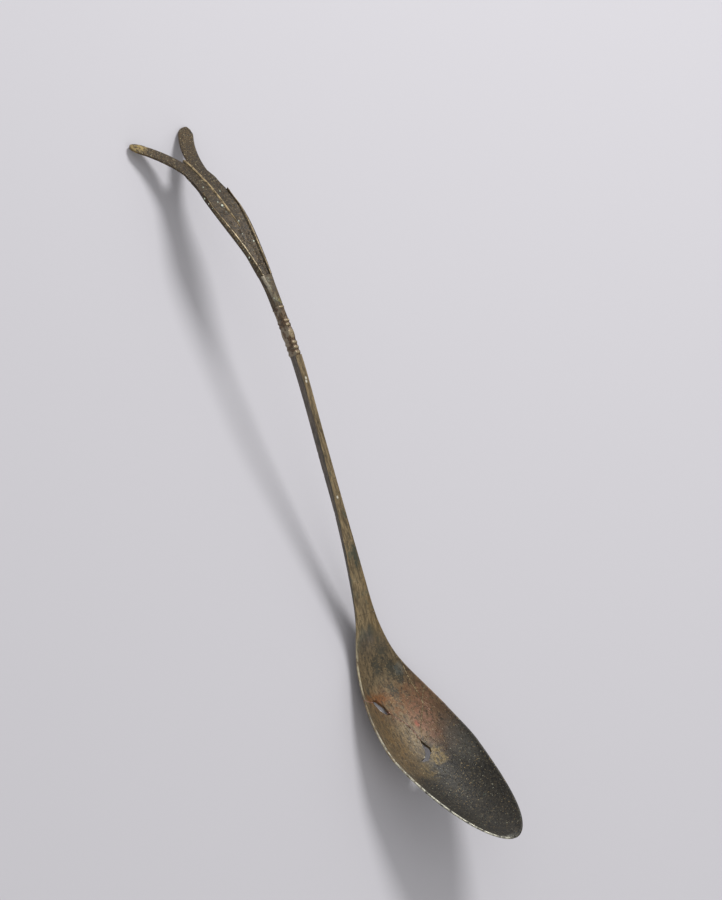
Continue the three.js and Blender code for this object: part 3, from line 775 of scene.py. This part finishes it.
def shade(made, material):
    for face in made.data.polygons:
        face.use_smooth = True
    made.data.materials.clear()
    made.data.materials.append(material)
    made.data.set_sharp_from_angle(angle=math.radians(SHARP_ANGLE))


# Materials

def srgb(red, green, blue):
    """A colour as it is seen on a screen, from 0 to 255, as the light it stands for."""
    def linear(value):
        value /= 255
        return value / 12.92 if value <= 0.04045 else ((value + 0.055) / 1.055) ** 2.4
    return (linear(red), linear(green), linear(blue), 1.0)


class Patina:
    """A node material on the spoon's own places: x to the side, s along the spine, n above it."""

    def __init__(self, name, metallic, roughness):
        self.material = bpy.data.materials.new(name)
        self.material.use_nodes = True
        self.tree = self.material.node_tree
        self.shader = self.tree.nodes["Principled BSDF"]
        self.shader.inputs["Metallic"].default_value = metallic
        self.base_roughness = roughness
        place = self.node("ShaderNodeAttribute")
        place.attribute_name = "place"
        self.place = place.outputs["Vector"]
        split = self.node("ShaderNodeSeparateXYZ")
        self.put(split.inputs[0], self.place)
        self.side, self.along, self.height = split.outputs

    def node(self, kind):
        return self.tree.nodes.new(kind)

    def put(self, socket, value):
        if isinstance(value, bpy.types.NodeSocket):
            self.tree.links.new(value, socket)
        else:
            socket.default_value = value

    def math(self, operation, first, second=0.0):
        node = self.node("ShaderNodeMath")
        node.operation = operation
        self.put(node.inputs[0], first)
        self.put(node.inputs[1], second)
        return node.outputs[0]

    def vector_math(self, operation, first, *others):
        node = self.node("ShaderNodeVectorMath")
        node.operation = operation
        self.put(node.inputs[0], first)
        for i, other in enumerate(others):
            node.inputs[i + 1].default_value = other
        return node.outputs["Value" if operation == "LENGTH" else "Vector"]

    def both(self, first, *others):
        """Where all the masks are 1."""
        for other in others:
            first = self.math("MULTIPLY", first, other)
        return first

    def between(self, value, low, high):
        """0 at low, 1 at high, smooth in between."""
        node = self.node("ShaderNodeMapRange")
        node.interpolation_type = "SMOOTHSTEP"
        self.put(node.inputs["Value"], value)
        flip = low > high
        node.inputs["From Min"].default_value = min(low, high)
        node.inputs["From Max"].default_value = max(low, high)
        node.inputs["To Min"].default_value = 1.0 if flip else 0.0
        node.inputs["To Max"].default_value = 0.0 if flip else 1.0
        return node.outputs["Result"]

    def noise(self, per_mm, detail=4.0, roughness=0.6, stretch=1.0, seed=0.0):
        """Noise with so many features a millimetre, drawn out along the spine by stretch."""
        scaled = self.vector_math("MULTIPLY_ADD", self.place, (per_mm, per_mm / stretch, per_mm),
                                  (seed, seed * 1.7, seed * 0.6))
        node = self.node("ShaderNodeTexNoise")
        self.put(node.inputs["Vector"], scaled)
        node.inputs["Scale"].default_value = 1.0
        node.inputs["Detail"].default_value = detail
        node.inputs["Roughness"].default_value = roughness
        return node.outputs["Fac"]

    def mix(self, factor, first, second):
        node = self.node("ShaderNodeMix")
        node.data_type = "RGBA"
        self.put(node.inputs[0], factor)
        self.put(node.inputs[6], first)
        self.put(node.inputs[7], second)
        return node.outputs[2]

    def mottle(self, pattern, low, high, tones):
        """Two tones, the first where the pattern is low and the second where it is high."""
        return self.mix(self.between(pattern, low, high), *tones)

    def spot(self, s, x, long, wide, ragged, per_mm, seed):
        """A ragged patch round a place, 1 inside and 0 outside."""
        moved = self.vector_math("SUBTRACT", self.place, (x, s, 0))
        length = self.vector_math("LENGTH", self.vector_math("MULTIPLY", moved, (1 / wide, 1 / long, 0)))
        uneven = self.math("SUBTRACT", self.noise(per_mm, 5.0, 0.65, seed=seed + s), 0.5)
        edge = self.math("ADD", length, self.math("MULTIPLY", uneven, 2 * ragged))
        return self.between(edge, 1.3, 0.35)

    def paint(self, color, mask, tint, amount):
        return self.mix(self.math("MULTIPLY", mask, amount), color, tint)

    def speckle(self, color, tint, per_mm, low, high, amount, seed, stretch=1.0):
        """Specks where noise rises from low to high."""
        pattern = self.noise(per_mm, 3.0, 0.6, stretch, seed)
        return self.paint(color, self.between(pattern, low, high), tint, amount)

    def finish(self, color, bump_per_mm, bump, stretch=1.0, shine=None):
        """Colour, fine relief and roughness, which is lower where a mask says that wear has polished."""
        self.put(self.shader.inputs["Base Color"], color)
        grain = self.noise(bump_per_mm, 6.0, 0.7, stretch, seed=3.0)
        pits = self.noise(bump_per_mm * 0.45, 3.0, 0.6, stretch, seed=8.0)
        relief = self.math("ADD", grain, self.math("MULTIPLY", self.between(pits, 0.56, 0.68), -0.8))
        node = self.node("ShaderNodeBump")
        node.inputs["Strength"].default_value = bump
        node.inputs["Distance"].default_value = BUMP_DISTANCE * MM
        self.put(node.inputs["Height"], relief)
        self.put(self.shader.inputs["Normal"], node.outputs["Normal"])
        rough = self.math("ADD", self.math("MULTIPLY", grain, 0.3), self.base_roughness - 0.15)
        if shine is not None:
            rough = self.math("SUBTRACT", rough, self.math("MULTIPLY", shine, 0.2))
        self.put(self.shader.inputs["Roughness"], rough)
        return self.material


# Colours. Of two tones, a pattern runs from the first to the second
BOWL_TAN = (srgb(66, 56, 39), srgb(122, 104, 75))
BOWL_BLACK = (srgb(18, 17, 15), srgb(60, 55, 44))
BREAK_BROWN = srgb(104, 74, 50)
BREAK_PINK = srgb(146, 104, 84)
BREAK_ORANGE = srgb(116, 76, 40)
SLIT_RUST = srgb(122, 74, 32)
SPOT_RED = srgb(146, 72, 50)
LEFT_BROWN = srgb(112, 86, 46)
RIGHT_SHEEN_GREY = srgb(92, 89, 82)
GOLD = srgb(142, 120, 72)
DULL_GOLD = srgb(118, 98, 58)
BLOTCH_BLACK = srgb(54, 54, 44)
NICK_GREY = srgb(98, 106, 104)
STREAK_BROWN = srgb(50, 44, 33)
SPECK_GOLD = srgb(160, 136, 92)
SPECK_BLACK = srgb(28, 27, 25)
SPECK_PALE = srgb(178, 174, 150)
SPECK_GREEN = srgb(92, 106, 88)
RIM_WEAR_AND_HIGHLIGHT = srgb(186, 183, 166)
RIM_STRAW = srgb(176, 168, 142)
STEM_TOP = (srgb(76, 64, 43), srgb(140, 121, 88))
STEM_SIDE_SHADE = (srgb(66, 60, 51), srgb(112, 102, 90))
STEM_LINE = srgb(58, 62, 54)
STEM_RIGHT = srgb(120, 96, 56)
STEM_PITS = srgb(56, 52, 40)
STEM_CLOUDS = srgb(70, 76, 62)
STEM_PALE = srgb(178, 164, 134)
STEM_GREEN = srgb(44, 52, 42)
STEM_WHITE = srgb(214, 208, 190)
COLLAR_BROWN = (srgb(58, 45, 31), srgb(112, 90, 66))
COLLAR_DARK = srgb(44, 38, 28)
COLLAR_WEAR_AND_HIGHLIGHT = srgb(178, 162, 130)
COLLAR_EDGE = srgb(186, 176, 152)
CALYX_BROWN = (srgb(50, 41, 28), srgb(100, 85, 60))
CALYX_LEFT_HIGHLIGHT = srgb(188, 180, 160)
CALYX_DARK = srgb(38, 34, 26)
FLOWER_BRONZE = (srgb(22, 17, 10), srgb(76, 60, 36))
LOBE_BRONZE = srgb(102, 82, 50)
FLOWER_DARK = srgb(26, 22, 15)
FLOWER_GOLD = srgb(156, 134, 94)
FLOWER_DOTS = srgb(186, 174, 138)
LOBE_TIP_GOLD = srgb(182, 158, 100)
FLOWER_GREEN = srgb(128, 138, 120)
MIDRIB_TONES = (srgb(74, 60, 40), srgb(186, 164, 124))
SEPAL_BRONZE = (srgb(32, 26, 16), srgb(92, 76, 50))
SEPAL_RIDGE = srgb(176, 154, 114)
SEPAL_BRIGHT = srgb(220, 204, 170)
SEPAL_CRUST = srgb(146, 150, 126)
SEPAL_DARK = srgb(28, 24, 17)
SEPAL_GOLD = srgb(158, 138, 98)
MEND_CREAM = (srgb(104, 84, 56), srgb(176, 156, 118))
MEND_RUST = (srgb(98, 58, 40), srgb(190, 146, 130))
MEND_STAIN = srgb(58, 48, 36)
CRUST_TONES = (srgb(150, 160, 142), srgb(216, 220, 204))

# Patches in the bowl: along, side, long, wide, raggedness, its noise a millimetre, seed, colour, amount
# and, for some, what breaks them up
BOWL_PATCHES = [
    (52, 9.5, 13, 6, 0.6, 0.35, 2, BREAK_BROWN, 0.6, None),
    (53, 7.5, 9, 4.2, 0.7, 0.4, 6, BREAK_PINK, 0.65, "broken"),
    (58, 1, 6, 10, 0.6, 0.35, 9, BREAK_ORANGE, 0.65, "broken"),
    (60.5, -4, 1.7, 6, 0.5, 0.6, 4, SLIT_RUST, 0.7, None),
    (50.5, 5, 1.1, 0.7, 0.8, 1.2, 7, SPOT_RED, 0.6, None),
    (46, -6, 13, 5, 0.6, 0.4, 5, LEFT_BROWN, 0.75, "streaked"),
    # A painted grey sheen on the bowl's right wall
    (40, 12, 10, 2.8, 0.5, 0.3, 3, RIGHT_SHEEN_GREY, 0.5, None),
    (39.5, 4.4, 3.4, 3.2, 1.1, 0.8, 8, GOLD, 0.65, "broken"),
    (35.5, -1.5, 4, 3, 0.9, 0.7, 18, DULL_GOLD, 0.6, "broken"),
]

# Dark blotches in the bowl: along, side, size
BOWL_BLOTCHES = [
    (73, 3.2, 2.4), (69, 0.6, 2), (67.5, 4.8, 2.2), (64.5, 6.4, 1.7),
    (78, -0.6, 1.6), (61.5, 3.2, 1.9), (62.6, -6.6, 1.3), (84, 0.4, 1.8),
]

# White specks on the stem, and patches of corrosion on the calyx: along, side and, there, colour
STEM_SPECKS = [(153, -0.1), (154, 0.1), (118.5, -0.2)]
CALYX_PATCHES = [
    (184.6, -0.4, srgb(142, 146, 126)), (182.4, -1, srgb(150, 152, 134)),
    (178.6, -0.6, srgb(132, 142, 122)), (177.6, 0.4, srgb(150, 142, 84)),
]


def bowl_patches(p, color, streaks):
    """The stained zones round the break, a painted grey sheen on the right wall, and the dark blotches
    above it.
    """
    broken = p.noise(0.9, 6, 0.75, stretch=1.5, seed=14)
    masks = {"broken": p.between(broken, 0.38, 0.58), "streaked": p.between(streaks, 0.4, 0.62)}
    for *shape, tint, amount, kind in BOWL_PATCHES:
        mask = p.spot(*shape)
        if kind:
            mask = p.both(mask, masks[kind])
        color = p.paint(color, mask, tint, amount)
    for s, x, size in BOWL_BLOTCHES:
        ragged = p.between(p.noise(1.6, 4, 0.7, stretch=1.2, seed=s), 0.34, 0.52)
        mask = p.both(p.spot(s, x, size * 1.3, size * 0.8, 1.1, 0.8, s), ragged)
        color = p.paint(color, mask, BLOTCH_BLACK, 0.85)
    return p.paint(color, p.spot(66.5, 7, 1.8, 1.4, 0.7, 0.8, 2), NICK_GREY, 0.4)


def bowl_specks(p, color):
    """Dark streaks and gold, black, pale and green specks; the pale and green ones towards the tip."""
    color = p.speckle(color, STREAK_BROWN, 1.9, 0.56, 0.64, 0.75, seed=11, stretch=1.8)
    color = p.speckle(color, SPECK_GOLD, 2.1, 0.62, 0.70, 0.75, seed=21)
    color = p.speckle(color, SPECK_BLACK, 1.1, 0.60, 0.70, 0.6, seed=31)
    pale = p.between(p.noise(1.9, 2, 0.5, seed=41), 0.69, 0.73)
    color = p.paint(color, p.both(pale, p.between(p.along, 60, 40)), SPECK_PALE, 0.75)
    green = p.between(p.noise(1.2, 3, seed=51), 0.66, 0.72)
    return p.paint(color, p.both(green, p.between(p.along, 45, 30)), SPECK_GREEN, 0.6)


def bowl_material():
    """The whole bowl's patina: tan above the break, pink and orange at it, black towards the tip,
    with a painted grey sheen on the right wall, and the crest of the rim worn silver with a
    painted highlight on it at the left and at the tip."""
    p = Patina("bowl_patina", metallic=0.3, roughness=0.48)
    streaks = p.noise(1.1, 6, 0.75, stretch=3.5, seed=1)
    tan = p.mottle(streaks, 0.36, 0.64, BOWL_TAN)
    clouds = p.noise(1.3, 6, 0.8, stretch=1.3, seed=4)
    black = p.mottle(clouds, 0.38, 0.66, BOWL_BLACK)
    wander = p.math("SUBTRACT", p.noise(0.25, 5, 0.65, seed=5), 0.5)
    slope = p.math("ADD", p.along, p.math("MULTIPLY", p.side, -0.75))
    slope = p.math("ADD", slope, p.math("MULTIPLY", wander, 22))
    color = p.mix(p.between(slope, 34, 47), black, tan)
    color = bowl_specks(p, bowl_patches(p, color, streaks))
    crest = p.between(p.height, -0.4, -0.12)
    dotted = p.between(p.noise(1.1, 4, 0.65, stretch=2, seed=61), 0.36, 0.56)
    # On the front crest of the rim, silver wear and a painted highlight
    front = p.both(crest, dotted, p.between(p.along, 60, 34), p.between(p.side, 3, -4))
    color = p.paint(color, front, RIM_WEAR_AND_HIGHLIGHT, 0.85)
    back = p.both(crest, dotted, p.between(p.along, 58, 66), p.between(p.side, 1, -2))
    color = p.paint(color, back, RIM_STRAW, 0.6)
    color = p.mix(p.between(p.along, 70, 82), color, stem_color(p))
    return p.finish(color, 2.4, 0.6, 1.5, shine=front)


def stem_color(p):
    """Tan and grained lengthwise on top, grey-brown at the sides in painted shade, dark along the edge.
    """
    grain = p.noise(2.2, 6, 0.7, stretch=9, seed=1)
    top = p.mottle(grain, 0.36, 0.64, STEM_TOP)
    # The sides are the top's grain in painted shade, darker and greyer than the top
    sides = p.mottle(grain, 0.36, 0.66, STEM_SIDE_SHADE)
    color = p.mix(p.between(p.height, -0.35, -0.12), sides, top)
    dashes = p.between(p.noise(0.5, stretch=4, seed=7), 0.4, 0.55)
    line = p.both(p.between(p.height, -0.55, -0.3), p.between(p.height, -0.05, -0.16), dashes)
    color = p.paint(color, line, STEM_LINE, 0.8)
    color = p.paint(color, p.between(p.side, 0.4, 2.4), STEM_RIGHT, 0.35)
    color = p.speckle(color, STEM_PITS, 2.6, 0.58, 0.66, 0.75, seed=11, stretch=2.5)
    color = p.speckle(color, STEM_CLOUDS, 0.5, 0.58, 0.70, 0.6, seed=23, stretch=2)
    color = p.speckle(color, STEM_PALE, 2, 0.68, 0.74, 0.6, seed=31, stretch=2)
    color = p.paint(color, p.spot(101, 0.9, 4.2, 1.2, 1.1, 1.2, 5), STEM_GREEN, 0.8)
    for s, x in STEM_SPECKS:
        color = p.paint(color, p.spot(s, x, 0.5, 0.35, 0.2, 1, 9), STEM_WHITE, 0.9)
    return color


def stem_material():
    p = Patina("stem_patina", metallic=0.25, roughness=0.5)
    return p.finish(stem_color(p), 3, 0.5, 3.5)


def collar_material():
    """Worn pale on the ridges, with a painted highlight on them and on the barrel's crown, brown between
    them.
    """
    p = Patina("collar_patina", metallic=0.4, roughness=0.42)
    brown = p.noise(1.8, 5, 0.75, stretch=2, seed=2)
    color = p.mottle(brown, 0.36, 0.64, COLLAR_BROWN)
    color = p.speckle(color, COLLAR_DARK, 2.4, 0.54, 0.64, 0.8, seed=9)
    rubbed = p.between(p.noise(0.9, 3, seed=5), 0.34, 0.5)
    # Pale wear and a painted highlight on the ridges and on the barrel's crown
    worn = p.both(p.between(p.height, 0.06, 0.13), rubbed)
    color = p.paint(color, worn, COLLAR_WEAR_AND_HIGHLIGHT, 0.6)
    patchy = p.between(p.noise(0.5, 3, seed=15), 0.46, 0.56)
    color = p.paint(color, p.both(p.between(p.side, -0.5, -1.1), patchy), COLLAR_EDGE, 0.35)
    return p.finish(color, 3, 0.35, shine=worn)


def calyx_material():
    """Grey-green corrosion in small patches over bronze brown, with a painted highlight along the left
    edge.
    """
    p = Patina("calyx_patina", metallic=0.3, roughness=0.5)
    brown = p.noise(1.4, 5, 0.75, stretch=2, seed=2)
    color = p.mottle(brown, 0.36, 0.64, CALYX_BROWN)
    ragged = p.between(p.noise(1.6, 5, 0.75, seed=17), 0.42, 0.56)
    for s, x, tint in CALYX_PATCHES:
        color = p.paint(color, p.both(p.spot(s, x, 1.1, 0.6, 0.9, 1.1, s), ragged), tint, 0.45)
    # A painted highlight along the calyx's upper left edge
    edge = p.both(p.between(p.side, -0.9, -1.5), p.between(p.height, -0.9, -0.4))
    color = p.paint(color, edge, CALYX_LEFT_HIGHLIGHT, 0.55)
    color = p.speckle(color, CALYX_DARK, 2.2, 0.56, 0.64, 0.8, seed=12)
    return p.finish(color, 3, 0.65, 1.5)


def flower_material():
    """Dark bronze, grainy, lighter on the lobes, with pale dots below them and a gold left tip."""
    p = Patina("flower_patina", metallic=0.35, roughness=0.46)
    bronze = p.noise(2.2, 6, 0.8, stretch=1.3, seed=2)
    color = p.mottle(bronze, 0.38, 0.62, FLOWER_BRONZE)
    patchy = p.between(p.noise(1.5, 5, 0.7, seed=7), 0.4, 0.6)
    color = p.paint(color, p.both(p.between(p.along, 226, 240), patchy), LOBE_BRONZE, 0.6)
    color = p.speckle(color, FLOWER_DARK, 1.9, 0.55, 0.64, 0.85, seed=12)
    color = p.speckle(color, FLOWER_GOLD, 2.6, 0.62, 0.70, 0.8, seed=42)
    dots = p.between(p.noise(2.2, 2, 0.5, seed=22), 0.64, 0.70)
    color = p.paint(color, p.both(dots, p.between(p.along, 205, 232)), FLOWER_DOTS, 0.8)
    crumbs = p.between(p.noise(1.5, 4, 0.7, seed=5), 0.42, 0.56)
    tip = p.both(p.spot(242.5, -9.5, 2.6, 3, 0.9, 0.9, 3), crumbs)
    color = p.paint(color, tip, LOBE_TIP_GOLD, 0.8)
    color = p.speckle(color, FLOWER_GREEN, 1.3, 0.68, 0.74, 0.7, seed=32)
    return p.finish(color, 2.8, 0.8, 1.3)


def midrib_material():
    """A fine line worn pale, with dark breaks in it."""
    p = Patina("midrib_patina", metallic=0.35, roughness=0.45)
    breaks = p.noise(0.9, 4, 0.7, stretch=2, seed=2)
    return p.finish(p.mottle(breaks, 0.36, 0.56, MIDRIB_TONES), 3, 0.5, 2)


def sepal_material():
    """A pale worn ridge on brown, brightest at the lower left, with crust on the outer slope."""
    p = Patina("sepal_patina", metallic=0.35, roughness=0.46)
    bronze = p.noise(2, 6, 0.8, stretch=1.6, seed=2)
    color = p.mottle(bronze, 0.38, 0.62, SEPAL_BRONZE)
    rubbed = p.between(p.noise(0.8, 3, stretch=2, seed=5), 0.30, 0.5)
    ridge = p.both(p.between(p.height, 0.04, 0.2), rubbed)
    color = p.paint(color, ridge, SEPAL_RIDGE, 0.75)
    lower_left = p.both(p.between(p.side, 0.5, -0.5), p.between(p.along, 206, 196))
    color = p.paint(color, p.both(ridge, lower_left), SEPAL_BRIGHT, 0.7)
    crumbs = p.between(p.noise(1.6, 3, seed=15), 0.58, 0.66)
    color = p.paint(color, p.both(crumbs, p.between(p.height, 0, -0.3)), SEPAL_CRUST, 0.7)
    color = p.speckle(color, SEPAL_DARK, 2.3, 0.56, 0.64, 0.75, seed=12)
    color = p.speckle(color, SEPAL_GOLD, 2.7, 0.64, 0.71, 0.7, seed=42)
    return p.finish(color, 3, 0.7, 1.6, shine=ridge)


def mend_material():
    """Matt adhesive, stained: cream dots on the right of the break, rust pink on the left."""
    p = Patina("mend_fill", metallic=0, roughness=0.75)
    dots = p.noise(1.5, 5, 0.7, seed=2)
    cream = p.mottle(dots, 0.42, 0.58, MEND_CREAM)
    rust = p.mottle(dots, 0.42, 0.58, MEND_RUST)
    color = p.mix(p.between(p.side, 3.4, 5), rust, cream)
    color = p.speckle(color, MEND_STAIN, 2.2, 0.52, 0.62, 0.8, seed=9)
    return p.finish(color, 3, 0.6)


def crust_material():
    """Powdery grey-green."""
    p = Patina("corrosion_crust", metallic=0, roughness=0.8)
    powder = p.noise(2.4, 4, seed=2)
    return p.finish(p.mottle(powder, 0.35, 0.65, CRUST_TONES), 4, 0.6)


# Grains of corrosion: place along the spine, to the side, height and radius
GRAINS = [
    (208.5, -4.7, -0.25, 0.34), (209.8, -4.9, -0.3, 0.26), (211, -4.8, -0.25, 0.36),
    (213, -5, -0.3, 0.22), (215.2, -5.1, -0.3, 0.24), (206.2, -4.5, -0.3, 0.22),
    (204, -4.3, -0.3, 0.26), (201.2, -3.9, -0.3, 0.2), (198.6, -3.6, -0.3, 0.24),
    (195.6, -3.2, -0.3, 0.2), (192.6, -2.9, -0.3, 0.22), (213, -1.6, -0.4, 0.22),
    (211.4, -1, -0.42, 0.42), (205, 0.9, -0.42, 0.26), (200.5, -0.6, -0.42, 0.2),
    (197.5, 1.8, -0.4, 0.26), (216.8, 1.9, -0.4, 0.22), (219.6, -2.4, -0.4, 0.22),
    (183.4, -1.3, -0.5, 0.3), (178.8, -1, -0.3, 0.26),
]


def make_grains():
    """Small lumps of crust, each seated half in the surface below it."""
    work = bmesh.new()
    for i, (s, x, n, radius) in enumerate(GRAINS):
        centre = on_spine((x, s, n))
        made = bmesh.ops.create_icosphere(work, subdivisions=3, radius=1.0)
        for vertex in made["verts"]:
            swell = 1 + 0.35 * noise.noise(vertex.co * 1.6 + Vector((i * 3.1, 0.5, 0.2)))
            flat = Vector((vertex.co.x, vertex.co.y * 1.2, vertex.co.z * 0.6))
            vertex.co = (flat * radius * swell + Vector(centre)) * MM
    mesh = bpy.data.meshes.new("corrosion_grains")
    work.to_mesh(mesh)
    work.free()
    return placed("corrosion_grains", mesh)


# Camera, floor and lights

CAMERA_PLACE = (-1.13720, -0.29116, 1.38629)
CAMERA_TURN = (25.46337, -33.21014, -26.52156)
CAMERA_LENS = 251.44
FLOOR_HALF = 3.0
FLOOR_COLOR = srgb(196, 194, 199)
FLOOR_ROUGHNESS = 0.9
WORLD_LEVEL = 0.5
LIGHT_AIM = (0, -0.02, 0.01)

# The lights: name, place, size across, power
LIGHTS = [
    ("key_light", (0.35, 0.55, 0.75), 0.35, 7.0),
    ("fill_light", (-0.1, -1.0, 0.7), 0.8, 3.0),
]


def make_camera():
    """The photograph's view, from the left and above, with a long lens."""
    data = bpy.data.cameras.new("camera")
    data.lens = CAMERA_LENS
    camera = placed("camera", data)
    camera.location = CAMERA_PLACE
    camera.rotation_euler = [math.radians(angle) for angle in CAMERA_TURN]
    bpy.context.scene.camera = camera


def make_floor():
    half = FLOOR_HALF
    corners = [(-half, -half, 0), (half, -half, 0), (half, half, 0), (-half, half, 0)]
    mesh = bpy.data.meshes.new("floor")
    mesh.from_pydata(corners, [], [(0, 1, 2, 3)])
    floor = placed("floor", mesh)
    material = bpy.data.materials.new("pale_floor")
    material.use_nodes = True
    shader = material.node_tree.nodes["Principled BSDF"]
    shader.inputs["Base Color"].default_value = FLOOR_COLOR
    shader.inputs["Roughness"].default_value = FLOOR_ROUGHNESS
    mesh.materials.append(material)


def make_light(name, place, size, power):
    data = bpy.data.lights.new(name, "AREA")
    data.shape = "DISK"
    data.size = size
    data.energy = power
    light = placed(name, data)
    light.location = place
    light.rotation_euler = (Vector(LIGHT_AIM) - Vector(place)).to_track_quat("-Z", "Y").to_euler()


def make_world():
    world = bpy.data.worlds.new("world")
    bpy.context.scene.world = world
    world.use_nodes = True
    background = world.node_tree.nodes["Background"]
    background.inputs["Color"].default_value = (1.0, 1.0, 1.0, 1.0)
    background.inputs["Strength"].default_value = WORLD_LEVEL


make_camera()
make_floor()
make_world()
for light in LIGHTS:
    make_light(*light)
bpy.context.scene.view_settings.view_transform = "Standard"

bowl_skin = bowl_material()
stem_skin = stem_material()
collar_skin = collar_material()
calyx_skin = calyx_material()
flower_skin = flower_material()
midrib_skin = midrib_material()
sepal_skin = sepal_material()
mend_skin = mend_material()
crust_skin = crust_material()

parts = make_bowl_pieces()

# Each piece with its material, the solid that it stands for, if any, and its slot in the record
finished = [
    (parts["bowl_front"], bowl_skin, "bowl_front", "bowl_front_metal"),
    (parts["bowl_back"], bowl_skin, "bowl_back", "bowl_back_metal"),
    (parts["bowl_edge_piece"], bowl_skin, "bowl_edge_piece", "bowl_edge_metal"),
    (parts["mend_long"], mend_skin, None, "mend_fill"),
    (parts["mend_short"], mend_skin, None, "mend_fill"),
    (make_stem(), stem_skin, "stem", "stem_metal"),
    (make_collar("fine_lower_collar", STEM_END, LOWER_COLLAR_END, rings(3), 60),
     collar_skin, "lower_collar", "collar_metal"),
    (make_collar("fine_barrel", LOWER_COLLAR_END, BARREL_END, barrel, 24),
     collar_skin, "barrel", "collar_metal"),
    (make_collar("fine_upper_collar", BARREL_END, UPPER_COLLAR_END, rings(2), 40),
     collar_skin, "upper_collar", "collar_metal"),
    (make_collar("fine_throat", UPPER_COLLAR_END, THROAT_END, plain, 16),
     collar_skin, "throat", "collar_metal"),
    (make_collar("fine_top_ring", THROAT_END, TOP_RING_END, rings(1), 20),
     collar_skin, "top_ring", "collar_metal"),
    (make_calyx(), calyx_skin, "calyx", "calyx_metal"),
    (make_sepal("fine_sepal_left", -1), sepal_skin, "sepal_left", "sepal_metal"),
    (make_sepal("fine_sepal_right", 1), sepal_skin, "sepal_right", "sepal_metal"),
    (make_blade(), flower_skin, "blade", "flower_metal"),
    (make_midrib(), midrib_skin, "midrib", "flower_metal"),
    (make_grains(), crust_skin, None, "corrosion_crust"),
]
for piece, skin, node, slot in finished:
    if piece.name.startswith(PITTED):
        weather(piece, GRAIN_DEPTH, PIT_DEPTH)
    else:
        weather(piece, SMALL_GRAIN_DEPTH, 0)
    shade(piece, skin)
    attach(piece, "root")
    if node:
        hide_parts(node)

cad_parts["tang"].data.materials.clear()
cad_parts["tang"].data.materials.append(collar_skin)
